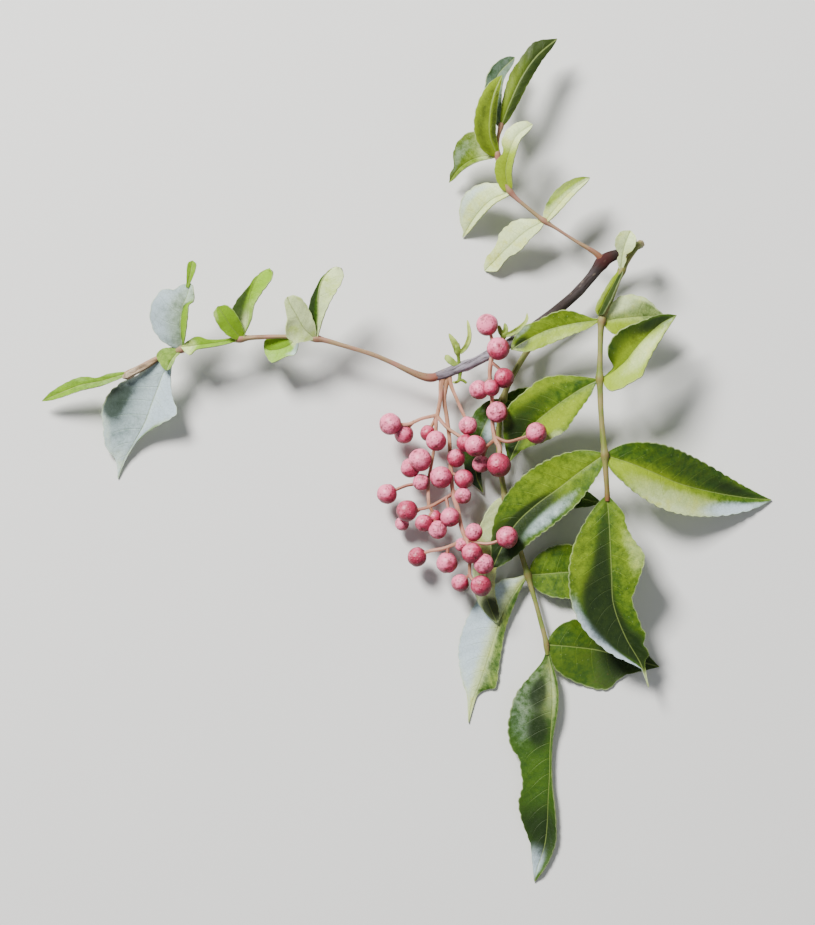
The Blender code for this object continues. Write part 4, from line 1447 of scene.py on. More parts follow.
# Pieces in millimetres
TWIG = Twig(
    name="twig",
    points=(
        (51.6, 47.3, 8.4, 0.85), (47.2, 45.4, 8.0, 1.05), (43.4, 43.6, 7.6, 1.4),
        (40.2, 39.6, 7.2, 1.15), (36.2, 35.4, 6.9, 1.15), (30.4, 30.7, 6.7, 1.25),
        (25.0, 27.0, 6.7, 1.15), (20.5, 24.3, 6.8, 1.15), (15.0, 21.4, 7.0, 1.1),
        (11.4, 20.0, 7.1, 1.15), (8.4, 18.8, 7.3, 1.15), (6.6, 18.2, 7.4, 1.0),
        (5.2, 17.9, 7.5, 0.6),
    ),
    joints=((0.6, 0.06), (9.8, 0.16), (17.5, 0.06), (33.5, 0.09), (41.2, 0.14), (47.5, 0.16)),
    finish=BarkFinish("bark"),
)

# Each leaflet's look paints light, sheen and shade as well as its own colour: pale and yellow-green
# where light falls, bluish sheen where it reflects, dark where shade falls.
RIGHT_LEAFLETS = (
    Leaflet(
        rib=((46.9, 41.2, 12.2), (47.3, 45.0, 13.4), (48.0, 47.6, 14.0), (49.0, 50.0, 13.6)),
        left=Half(2.1, widest=0.72, fullness=1.5, lift=0.6, dent_at=0.4, dent=0.7),
        right=Half(1.9, widest=0.72, fullness=1.5, lift=0.9, dent_at=0.4, dent=0.7),
        look=Look(pale=0.8, patches=(Patch(Tone.YELLOW_AND_LIT, 0.2, 0, 0.3, 1.5, 0.7),)),
    ),
    Leaflet(
        rib=(
            (47.1, 41.6, 12.2), (46.0, 39.7, 12.7), (44.8, 37.5, 13.2), (43.6, 35.3, 13.3),
            (42.7, 33.3, 13.2), (41.9, 31.5, 13.0),
        ),
        left=Half(0.8, lift=1.2, margin=(
            (47.2, 40.5), (46.4, 38.7), (45.5, 36.6), (44.7, 34.7), (43.8, 33.1), (43.0, 31.7),
        )),
        right=Half(1.7, lift=0.5, margin=(
            (46.2, 41.2), (44.9, 39.7), (43.6, 37.7), (42.5, 35.8), (41.5, 33.9), (41.2, 32.6),
        )),
        look=Look(yellow=0.45, deep=0.05, patches=(
            Patch(Tone.YELLOW_AND_LIT, 0.6, -0.6, 0.7, 0.7, 1.3),
            Patch(Tone.PALE, 0.6, -0.8, 0.5, 0.5, 0.45), Patch(Tone.DARK_AND_SHADE, 0.5, 0.5, 0.8, 0.75, 1.0),
            Patch(Tone.DARK_AND_SHADE, 0.95, 0.2, 0.1, 1.0, 0.5),
        )),
    ),
    Leaflet(
        rib=(
            (42.2, 30.5, 12.6), (37.0, 29.8, 12.0), (31.0, 28.4, 10.8), (26.0, 26.0, 9.9),
            (22.9, 24.0, 9.6),
        ),
        left=Half(2.7, lift=0.5, margin=(
            (41.3, 29.6), (39.4, 28.4), (36.5, 27.3), (33.6, 26.1), (30.6, 24.8), (27.3, 23.6),
            (25.2, 23.5), (23.7, 23.9),
        )),
        right=Half(3.5, lift=0.9, margin=(
            (40.7, 30.9), (38.2, 31.9), (35.2, 32.7), (32.7, 32.4), (30.2, 31.3), (28.1, 30.2),
            (26.2, 29.6), (24.8, 28.4), (23.6, 26.9), (23.0, 25.4),
        )),
        look=Look(yellow=0.5, patches=(
            Patch(Tone.DARK_AND_SHADE, 0.5, -0.45, 0.35, 0.3, 0.28),
            Patch(Tone.YELLOW_AND_LIT, 0.45, 0.6, 0.5, 0.45, 0.4),
            Patch(Tone.PALE, 0.5, 0.8, 0.4, 0.3, 0.35), Patch(Tone.DARK_AND_SHADE, 0.88, 0.1, 0.12, 0.7, 0.9),
            Patch(Tone.COOL_SHEEN, 0.8, -0.8, 0.15, 0.3, 0.45), Patch(Tone.PALE, 0.97, 0, 0.06, 2.0, 0.5),
        )),
    ),
    Leaflet(
        rib=((43.0, 30.2, 12.6), (47.0, 30.9, 12.0), (52.0, 31.3, 11.0), (56.9, 31.2, 9.8)),
        left=Half(4.6, lift=0.4, margin=(
            (43.7, 32.0), (44.9, 34.2), (46.6, 35.7), (49.1, 36.2), (51.5, 35.8), (53.5, 34.7),
            (54.8, 33.2), (56.2, 32.0),
        )),
        right=Half(3.6, lift=0.2, margin=(
            (43.8, 28.5), (45.8, 27.2), (48.5, 27.3), (51.3, 27.8), (54.0, 29.2), (55.9, 30.4),
        )),
        look=Look(yellow=0.4, pale=0.42, deep=0.08, patches=(
            Patch(Tone.PALE, 0.3, 0.6, 0.22, 0.3, 0.5), Patch(Tone.COOL_SHEEN, 0.3, 0.7, 0.3, 0.4, 0.35),
            Patch(Tone.YELLOW_AND_LIT, 0.25, -0.6, 0.3, 0.5, 1.0),
            Patch(Tone.PALE, 0.25, -0.6, 0.25, 0.4, -0.3),
            Patch(Tone.DARK_AND_SHADE, 0.55, 0.35, 0.25, 0.3, 0.3),
            Patch(Tone.DARK_AND_SHADE, 0.25, 0.15, 0.1, 0.3, 0.2), Patch(Tone.PALE, 0.5, 0.9, 0.5, 0.14, 0.4),
        )),
    ),
    Leaflet(
        rib=(
            (42.0, 17.3, 13.0), (38.0, 15.3, 12.6), (33.0, 11.9, 11.0), (28.6, 8.4, 9.0),
            (25.0, 4.6, 7.6), (22.4, -0.8, 6.8),
        ),
        left=Half(4.3, lift=0.6, margin=(
            (41.3, 16.2), (40.3, 13.9), (38.6, 11.4), (37.1, 9.3), (36.3, 8.1), (35.0, 6.2),
            (32.7, 4.9), (30.2, 3.7), (27.7, 2.8), (25.6, 2.0), (23.9, 0.7),
        )),
        right=Half(5.6, lift=0.4, margin=(
            (39.8, 17.9), (36.9, 18.3), (33.6, 18.5), (30.6, 18.1), (28.1, 16.9), (25.6, 14.8),
            (23.1, 12.7), (21.6, 10.6), (21.1, 7.6), (21.2, 5.1), (21.6, 2.6),
        )),
        look=Look(yellow=0.3, patches=(
            Patch(Tone.DARK_AND_SHADE, 0.58, -0.42, 0.36, 0.42, 0.5),
            Patch(Tone.YELLOW_AND_LIT, 0.35, -0.85, 0.3, 0.3, 0.3),
            Patch(Tone.DARK_AND_SHADE, 0.88, 0, 0.24, 0.9, 0.6),
            Patch(Tone.YELLOW_AND_LIT, 0.45, 0.5, 0.35, 0.45, 0.6),
            Patch(Tone.PALE, 0.6, 0.9, 0.2, 0.25, 0.5),
        )),
    ),
    Leaflet(
        rib=(
            (43.1, 17.7, 13.0), (45.8, 19.6, 13.9), (48.0, 21.5, 14.3), (49.7, 23.7, 14.7),
            (51.5, 25.8, 14.8), (53.5, 27.8, 14.8), (55.9, 29.8, 14.5), (59.1, 31.5, 14.0),
        ),
        left=Half(4.7, lift=2.2, margin=(
            (44.2, 19.0), (45.3, 20.4), (44.2, 22.1), (43.8, 23.8), (44.5, 25.9), (46.0, 27.7),
            (47.8, 28.9), (50.2, 29.8), (52.4, 30.7), (54.6, 31.5), (56.8, 31.8),
        )),
        right=Half(3.3, lift=2.6, margin=(
            (43.3, 16.0), (44.9, 14.8), (47.4, 15.6), (49.3, 16.8), (51.3, 17.9), (52.5, 20.7),
            (54.1, 23.7), (55.9, 26.6), (57.6, 29.2),
        )),
        look=Look(yellow=0.25, deep=0.05, patches=(
            Patch(Tone.DARK_AND_SHADE, 0.4, 0.6, 0.5, 0.7, 0.42),
            Patch(Tone.PALE, 0.35, 0.5, 0.12, 0.3, 0.16), Patch(Tone.DARK_AND_SHADE, 0.8, 0.3, 0.2, 0.6, 0.6),
            Patch(Tone.YELLOW_AND_LIT, 0.3, -0.6, 0.5, 1.0, 1.6),
            Patch(Tone.PALE, 0.5, -0.35, 0.34, 0.4, 0.6),
            Patch(Tone.PALE, 0.7, -0.8, 0.3, 0.3, 0.5),
            Patch(Tone.COOL_SHEEN, 0.85, -0.3, 0.2, 0.6, 0.35),
        )),
    ),
    Leaflet(
        rib=(
            (43.2, 0.9, 12.5), (38.2, -2.6, 11.6), (33.5, -6.3, 9.8), (28.5, -10.0, 8.0),
            (24.2, -14.0, 6.7), (21.3, -18.6, 5.9), (18.9, -23.9, 5.4),
        ),
        left=Half(5.6, widest=0.52, fullness=0.7, lift=0.9),
        right=Half(6.7, widest=0.42, fullness=0.8, lift=0.6),
        look=Look(yellow=0.3, patches=(
            Patch(Tone.YELLOW_AND_LIT, 0.3, -0.3, 0.35, 0.7, 0.25),
            Patch(Tone.DARK_AND_SHADE, 0.62, 0.08, 0.28, 0.34, 1.0),
            Patch(Tone.COOL_SHEEN, 0.54, 0.6, 0.3, 0.34, 0.6),
            Patch(Tone.PALE, 0.54, 0.6, 0.26, 0.34, 0.22),
            Patch(Tone.DARK_AND_SHADE, 0.9, 0, 0.24, 1.2, 0.95), Patch(Tone.DARK_AND_SHADE, 0.35, 0.5, 0.2, 0.3, 0.2),
        )),
    ),
    Leaflet(
        rib=(
            (43.6, 0.8, 12.5), (49.0, -0.9, 11.8), (54.0, -2.9, 10.2), (60.0, -5.4, 7.4),
            (67.0, -7.2, 4.0), (74.0, -8.4, 1.4), (80.5, -9.0, 0.31),
        ),
        left=Half(6.6, widest=0.38, fullness=0.75, lift=1.8),
        right=Half(6.3, widest=0.43, fullness=0.65, lift=1.2),
        look=Look(yellow=0.25, patches=(
            Patch(Tone.DARK_AND_SHADE, 0.55, 0.5, 0.5, 0.5, 0.4), Patch(Tone.DARK_AND_SHADE, 0.82, 0.25, 0.2, 0.5, 0.4),
            Patch(Tone.YELLOW_AND_LIT, 0.3, -0.45, 0.35, 0.55, 0.9),
            Patch(Tone.PALE, 0.45, -0.6, 0.36, 0.5, 0.62),
            Patch(Tone.PALE, 0.55, -0.95, 0.4, 0.2, 0.4),
            Patch(Tone.COOL_SHEEN, 0.8, -0.75, 0.2, 0.45, 0.9),
        )),
    ),
    Leaflet(
        rib=(
            (43.9, -8.0, 12.2), (44.4, -15.0, 11.9), (44.9, -25.0, 10.6), (45.4, -32.0, 9.2),
            (48.0, -39.0, 7.8), (51.4, -45.0, 6.8), (53.2, -50.3, 6.2),
        ),
        left=Half(7.2, lift=1.4, margin=(
            (47.5, -11.8), (48.3, -14.7), (49.9, -17.7), (52.1, -20.7), (52.0, -23.5),
            (50.4, -28.2), (49.6, -31.0), (50.7, -34.1), (51.8, -37.1), (52.7, -38.7),
            (52.1, -40.7), (53.4, -42.7), (52.4, -44.9),
        )),
        right=Half(9.3, widest=0.46, fullness=0.9, lift=1.6),
        tail=0.1,
        look=Look(yellow=0.3, patches=(
            Patch(Tone.DARK_AND_SHADE, 0.2, -0.2, 0.2, 0.26, 0.6),
            Patch(Tone.DARK_AND_SHADE, 0.44, -0.3, 0.16, 0.42, 0.6),
            Patch(Tone.DARK_AND_SHADE, 0.64, -0.35, 0.18, 0.6, 0.95),
            Patch(Tone.DARK_AND_SHADE, 0.83, 0.3, 0.12, 0.8, 0.85),
            Patch(Tone.DARK_AND_SHADE, 0.15, 0.3, 0.16, 0.3, 0.3),
            Patch(Tone.DARK_AND_SHADE, 0.68, 0.5, 0.14, 0.6, 0.3),
            Patch(Tone.PALE, 0.3, 0.8, 0.16, 0.4, 0.45),
            Patch(Tone.YELLOW_AND_LIT, 0.28, 0.6, 0.2, 0.5, 0.25),
            Patch(Tone.YELLOW_AND_LIT, 0.3, -0.75, 0.22, 0.35, 0.25),
            Patch(Tone.PALE, 0.3, -0.95, 0.25, 0.16, 0.2),
            Patch(Tone.COOL_SHEEN, 0.74, -0.95, 0.24, 0.3, 1.1),
            Patch(Tone.PALE, 0.76, -1.0, 0.22, 0.2, 0.6), Patch(Tone.PALE, 0.96, 0, 0.06, 2.0, 0.8),
        )),
    ),
)

RIGHT_LEAF = CompoundLeaf(
    name="right_leaf",
    rachis=(
        (51.4, 47.3, 9.0, 1.2), (50.4, 46.6, 11.2, 0.95), (47.7, 42.6, 11.7, 0.9),
        (45.9, 38.4, 12.1, 0.9), (44.2, 33.8, 12.4, 0.85), (42.7, 30.3, 12.7, 0.95),
        (42.4, 24.0, 12.9, 0.8), (42.3, 17.3, 13.0, 0.9), (42.7, 8.5, 12.9, 0.8),
        (43.4, 0.8, 12.6, 0.9), (44.0, -9.2, 12.2, 0.65),
    ),
    leaflets=RIGHT_LEAFLETS, seed=1.3, ruddy_foot=0.3, ruddy_tip=0.7, slim=0.78,
    stalk=LEAF_STALK_GREEN, blade=LEAF_BLADE,
)

LOWER_LEAFLETS = (
    Leaflet(
        rib=(
            (20.9, 13.0, 5.0), (17.9, 9.0, 3.6), (15.6, 3.0, 2.2), (15.2, -3.0, 1.4),
            (16.8, -7.4, 1.0),
        ),
        left=Half(2.4, widest=0.35),
        right=Half(3.4, widest=0.4),
        look=Look(yellow=0.15, cool=0.25, deep=0.25, patches=(
            Patch(Tone.DARK_AND_SHADE, 0.85, 0, 0.2, 1.2, 0.8), Patch(Tone.COOL_SHEEN, 0.3, 0.6, 0.3, 0.5, 0.4),
        )),
    ),
    Leaflet(
        rib=((21.2, 13.0, 5.0), (26.0, 12.4, 3.6), (31.0, 12.4, 2.6), (35.5, 13.0, 2.0)),
        left=Half(3.2),
        right=Half(3.2),
        look=Look(yellow=0.15, deep=0.15),
    ),
    Leaflet(
        rib=(
            (21.7, -8.6, 3.6), (19.6, -14.0, 3.0), (18.0, -22.0, 2.4), (17.4, -29.5, 2.2),
            (19.8, -36.2, 2.0),
        ),
        left=Half(1.8, widest=0.6, fullness=0.5),
        right=Half(3.0, widest=0.4, fullness=0.5),
        look=Look(pale=0.85, patches=(Patch(Tone.DARK_AND_SHADE, 0.9, 0, 0.13, 1.5, 1.1),)),
    ),
    Leaflet(
        rib=((21.9, -8.6, 3.6), (28.0, -7.4, 3.2), (36.0, -8.2, 2.6), (42.9, -9.7, 2.0)),
        left=Half(3.2, lift=0.4),
        right=Half(3.2, lift=0.4),
        look=Look(deep=0.48, patches=(Patch(Tone.YELLOW_AND_LIT, 0.3, 0.5, 0.3, 0.4, 0.15),)),
    ),
    Leaflet(
        rib=(
            (26.6, -25.6, 3.0), (23.9, -29.4, 2.1), (21.3, -34.0, 1.3), (19.6, -38.7, 0.7),
            (18.0, -43.7, 0.4), (16.2, -49.2, 0.31), (14.4, -53.7, 0.31), (13.6, -58.3, 0.31),
        ),
        left=Half(3.6, lift=0.3, margin=(
            (25.3, -28.3), (23.9, -31.8), (22.6, -35.1), (21.6, -38.4), (21.0, -42.0),
            (20.4, -45.9), (19.7, -50.4), (17.7, -50.9), (15.6, -52.2), (14.5, -55.2),
        )),
        right=Half(6.5, lift=0.2, margin=(
            (23.9, -26.2), (20.7, -26.7), (18.3, -28.5), (15.6, -31.0), (13.8, -33.9),
            (12.3, -37.3), (11.3, -41.5), (11.4, -45.3), (12.2, -49.4), (13.2, -52.2),
            (13.4, -55.2),
        )),
        tail=0.12,
        look=Look(yellow=0.3, pale=0.3, patches=(
            Patch(Tone.PALE, 0.5, -0.6, 0.8, 0.75, 0.55),
            Patch(Tone.COOL_SHEEN, 0.45, -0.7, 0.45, 0.6, 0.95), Patch(Tone.PALE, 0.93, 0, 0.1, 2.0, 0.6),
            Patch(Tone.DARK_AND_SHADE, 0.1, 0, 0.12, 2.0, 0.25), Patch(Tone.DARK_AND_SHADE, 0.4, 0.6, 0.4, 0.5, 0.15),
        )),
    ),
    Leaflet(
        rib=((26.9, -25.6, 3.0), (31.0, -25.3, 2.8), (37.0, -25.0, 2.4), (48.0, -25.8, 1.4)),
        left=Half(6.0, widest=0.4, fullness=0.6, lift=0.3),
        right=Half(5.6, widest=0.4, fullness=0.6, lift=0.3),
        look=Look(yellow=0.35, deep=0.2, patches=(Patch(Tone.DARK_AND_SHADE, 0.7, 0.6, 0.4, 0.5, 0.3),)),
    ),
    Leaflet(
        rib=(
            (30.9, -41.0, 2.8), (36.0, -41.4, 2.0), (42.0, -42.2, 0.31), (48.0, -43.8, 0.31),
            (55.7, -45.9, 0.31),
        ),
        left=Half(6.5, widest=0.36, fullness=0.65, lift=0.0),
        right=Half(8.5, lift=0.0, margin=(
            (31.5, -44.2), (33.1, -46.9), (35.9, -48.8), (39.2, -50.2), (42.5, -51.1),
            (44.9, -50.8), (46.2, -49.3), (48.5, -47.8), (51.8, -47.0),
        )),
        look=Look(yellow=0.3, deep=0.34, patches=(
            Patch(Tone.PALE, 0.12, 0.5, 0.14, 0.4, 0.2), Patch(Tone.DARK_AND_SHADE, 0.72, 0, 0.3, 1.2, 0.45),
        )),
    ),
    Leaflet(
        rib=(
            (31.0, -42.1, 2.8), (31.7, -47.0, 2.6), (32.1, -53.0, 2.4), (31.9, -58.5, 2.1),
            (31.6, -64.0, 1.8), (31.5, -69.5, 1.6), (31.2, -75.0, 1.3), (31.0, -80.5, 0.9),
            (30.4, -85.5, 0.6), (28.8, -90.4, 0.4), (28.2, -93.5, 0.31),
        ),
        left=Half(1.2, lift=0.8, margin=(
            (32.1, -45.3), (33.2, -49.2), (33.5, -53.0), (33.1, -56.9), (32.3, -61.3),
            (32.0, -66.2), (32.1, -71.7), (32.6, -76.1), (33.0, -80.5), (33.0, -84.4),
            (31.9, -87.9), (30.4, -90.7),
        )),
        right=Half(9.2, lift=0.8, margin=(
            (29.9, -44.5), (27.9, -47.0), (25.4, -49.7), (23.6, -52.5), (22.6, -56.0),
            (22.1, -59.6), (22.8, -63.5), (24.6, -66.2), (25.0, -69.0), (25.4, -72.0),
            (24.5, -75.6), (25.0, -79.1), (26.1, -82.2), (27.2, -85.2), (27.6, -88.8),
        )),
        look=Look(yellow=0.1, deep=0.28, patches=(
            Patch(Tone.PALE, 0.2, -0.4, 0.24, 1.0, 0.36),
            Patch(Tone.COOL_SHEEN, 0.25, -0.7, 0.26, 0.6, 0.35),
            Patch(Tone.PALE, 0.12, 0.2, 0.16, 0.5, 0.25), Patch(Tone.PALE, 0.3, 0.7, 0.3, 0.5, 0.2),
            Patch(Tone.DARK_AND_SHADE, 0.19, -0.42, 0.07, 0.25, 0.7),
            Patch(Tone.DARK_AND_SHADE, 0.35, -0.3, 0.08, 0.25, 0.6),
            Patch(Tone.DARK_AND_SHADE, 0.78, 0, 0.12, 1.4, 0.5), Patch(Tone.PALE, 0.92, -0.4, 0.09, 1.0, 0.5),
            Patch(Tone.COOL_SHEEN, 0.92, -0.4, 0.09, 1.0, 0.4),
            Patch(Tone.COOL_SHEEN, 0.92, -0.4, 0.09, 1.0, 0.5),
        )),
    ),
)

LOWER_LEAF = CompoundLeaf(
    name="lower_leaf",
    rachis=(
        (30.4, 30.6, 6.3, 1.1), (29.4, 27.5, 5.0, 0.95), (26.4, 23.6, 5.1, 0.9),
        (24.0, 19.7, 5.4, 0.85), (22.3, 16.3, 5.4, 0.85), (21.1, 12.8, 5.2, 0.9),
        (20.4, 8.0, 5.0, 0.8), (20.3, 2.0, 4.6, 0.8), (20.9, -4.0, 4.1, 0.8),
        (21.8, -9.0, 3.7, 0.85), (23.4, -15.0, 3.4, 0.75), (25.2, -21.0, 3.2, 0.75),
        (26.7, -25.8, 3.1, 0.8), (28.6, -32.5, 3.0, 0.65), (30.5, -39.6, 2.9, 0.7),
        (31.0, -43.2, 2.8, 0.5),
    ),
    leaflets=LOWER_LEAFLETS, seed=2.9, ruddy_foot=0.3, ruddy_tip=0.4, slim=0.8,
    stalk=LEAF_STALK_GREEN, blade=LEAF_BLADE,
)

UPPER_LEAFLETS = (
    Leaflet(
        rib=(
            (30.2, 52.4, 9.1), (25.9, 49.9, 7.4), (22.2, 46.6, 5.0), (19.2, 43.6, 1.7),
            (17.2, 41.6, 0.31),
        ),
        left=Half(1.2, margin=(
            (29.2, 50.3), (27.2, 48.4), (25.7, 46.6), (24.3, 45.4), (22.5, 44.5), (21.3, 43.2),
            (19.8, 41.4),
        )),
        right=Half(2.8, lift=-0.8, margin=(
            (28.4, 52.7), (26.2, 52.9), (23.8, 52.6), (21.8, 51.3), (20.4, 49.7), (20.0, 48.0),
            (18.8, 46.0), (17.7, 44.9), (17.0, 42.9),
        )),
        look=Look(pale=0.78, yellow=0.3, patches=(
            Patch(Tone.PALE, 0.6, -0.3, 0.4, 0.8, 0.2), Patch(Tone.YELLOW_AND_LIT, 0.3, 0.5, 0.2, 0.4, 0.5),
            Patch(Tone.YELLOW_AND_LIT, 0.75, -0.4, 0.15, 0.4, 0.45),
            Patch(Tone.DARK_AND_SHADE, 0.2, -0.3, 0.14, 0.3, 0.16),
            Patch(Tone.DARK_AND_SHADE, 0.45, -0.7, 0.12, 0.3, 0.14),
        )),
    ),
    Leaflet(
        rib=((30.4, 52.2, 9.2), (33.0, 55.5, 10.4), (36.3, 59.0, 11.0), (40.2, 61.8, 10.4)),
        left=Half(2.3, widest=0.46, lift=-0.6),
        right=Half(0.8, lift=2.4),
        look=Look(pale=0.8, yellow=0.35, patches=(
            Patch(Tone.PALE, 0.62, 0.8, 0.42, 0.5, -0.9),
            Patch(Tone.DARK_AND_SHADE, 0.62, 0.8, 0.4, 0.4, 0.5), Patch(Tone.YELLOW_AND_LIT, 0.6, 0.7, 0.4, 0.5, 0.4),
        )),
    ),
    Leaflet(
        rib=((22.8, 58.7, 10.1), (18.6, 57.0, 8.2), (15.2, 53.6, 4.2), (12.3, 49.0, 0.31)),
        left=Half(0.9, lift=2.0),
        right=Half(3.6, lift=-1.0, margin=(
            (21.3, 60.1), (19.1, 60.7), (16.5, 60.7), (14.3, 59.8), (12.5, 58.2), (11.7, 56.2),
            (11.5, 54.1), (11.9, 51.9), (12.5, 50.4),
        )),
        look=Look(pale=0.82, patches=(
            Patch(Tone.COOL_SHEEN, 0.5, -0.8, 0.4, 0.3, 0.6), Patch(Tone.DARK_AND_SHADE, 0.5, -1.0, 0.4, 0.14, 0.4),
            Patch(Tone.YELLOW_AND_LIT, 0.4, -0.4, 0.3, 0.4, 0.4),
            Patch(Tone.YELLOW_AND_LIT, 0.15, -0.2, 0.2, 0.5, 0.3),
            Patch(Tone.DARK_AND_SHADE, 0.8, -0.5, 0.15, 0.3, 0.15),
        )),
    ),
    Leaflet(
        rib=(
            (22.4, 58.9, 10.2), (21.7, 63.0, 12.0), (22.4, 67.0, 13.4), (24.0, 70.8, 13.8),
            (27.5, 73.4, 13.2),
        ),
        left=Half(2.4, widest=0.5, fullness=0.4, lift=-0.5, dent_at=0.5, dent=0.55),
        right=Half(1.1, widest=0.45, fullness=0.4, lift=1.2),
        look=Look(yellow=0.85, pale=0.1, patches=(
            Patch(Tone.PALE, 0.85, 0, 0.3, 2.0, 0.9), Patch(Tone.COOL_SHEEN, 0.85, 0.2, 0.3, 1.0, 0.3),
        )),
    ),
    Leaflet(
        rib=((19.9, 66.8, 11.0), (15.4, 66.2, 9.0), (11.8, 64.2, 6.0), (9.3, 61.0, 3.4)),
        left=Half(0.6, lift=1.6),
        right=Half(5.6, widest=0.32, fullness=0.8, lift=1.4, dent_at=0.76, dent=0.6),
        look=Look(yellow=0.5, pale=0.25, deep=0.28, patches=(
            Patch(Tone.PALE, 0.12, 0, 0.2, 2.0, 0.4), Patch(Tone.COOL_SHEEN, 0.6, -0.6, 0.4, 0.5, 0.4),
            Patch(Tone.DARK_AND_SHADE, 0.85, -0.5, 0.2, 0.5, 0.2),
        )),
    ),
    Leaflet(
        rib=(
            (19.8, 66.6, 11.2), (18.1, 71.0, 13.6), (18.2, 76.0, 14.6), (19.2, 80.4, 14.4),
            (20.8, 84.1, 13.4),
        ),
        left=Half(3.1, widest=0.42, fullness=0.6, lift=0.5),
        right=Half(1.2, lift=-0.8),
        look=Look(yellow=0.8, deep=0.3, patches=(
            Patch(Tone.DARK_AND_SHADE, 0.3, 0.6, 0.3, 0.4, 0.3), Patch(Tone.DARK_AND_SHADE, 0.7, 0.3, 0.25, 0.4, 0.25),
            Patch(Tone.PALE, 0.5, 1.0, 0.6, 0.1, 0.4), Patch(Tone.DARK_AND_SHADE, 0.5, -0.6, 0.6, 0.5, 0.35),
        )),
    ),
    Leaflet(
        rib=((20.5, 72.8, 11.4), (19.2, 78.0, 10.0), (19.8, 84.0, 8.6), (23.7, 88.4, 7.0)),
        left=Half(1.9, widest=0.62, fullness=0.8),
        right=Half(1.4, widest=0.5),
        look=Look(cool=0.4, pale=0.05, deep=0.42),
    ),
    Leaflet(
        rib=(
            (20.6, 73.0, 11.5), (22.7, 78.5, 12.3), (25.3, 84.0, 12.0), (28.6, 88.6, 10.8),
            (33.0, 92.4, 9.0),
        ),
        left=Half(2.3, lift=-0.3, margin=(
            (20.5, 75.0), (20.8, 78.1), (21.6, 81.6), (22.7, 84.9), (24.6, 87.6), (26.3, 90.0),
            (27.5, 91.4), (29.3, 92.1), (31.5, 92.3),
        )),
        right=Half(1.7, widest=0.45, lift=-0.6),
        look=Look(yellow=0.55, deep=0.5, patches=(
            Patch(Tone.DARK_AND_SHADE, 0.5, -0.5, 0.6, 0.5, 0.3),
            Patch(Tone.YELLOW_AND_LIT, 0.25, 0.6, 0.3, 0.4, 0.2), Patch(Tone.DARK_AND_SHADE, 0.9, 0, 0.3, 2.0, 0.3),
        )),
    ),
)

UPPER_LEAF = CompoundLeaf(
    name="upper_leaf",
    rachis=(
        (42.9, 43.9, 7.8, 1.1), (41.2, 45.5, 8.3, 0.75), (37.0, 48.0, 8.6, 0.45),
        (33.0, 50.6, 9.0, 0.45), (30.3, 52.3, 9.2, 0.6), (26.5, 55.2, 9.7, 0.5),
        (22.8, 58.6, 10.2, 0.65), (21.0, 62.2, 10.7, 0.55), (19.9, 66.5, 11.1, 0.65),
        (19.9, 70.0, 11.3, 0.5), (20.8, 73.8, 11.5, 0.55),
    ),
    leaflets=UPPER_LEAFLETS, seed=4.7, ruddy_foot=0.8, ruddy_tip=0.5, slim=0.84,
    stalk=LEAF_STALK_WARM, blade=LEAF_BLADE,
)

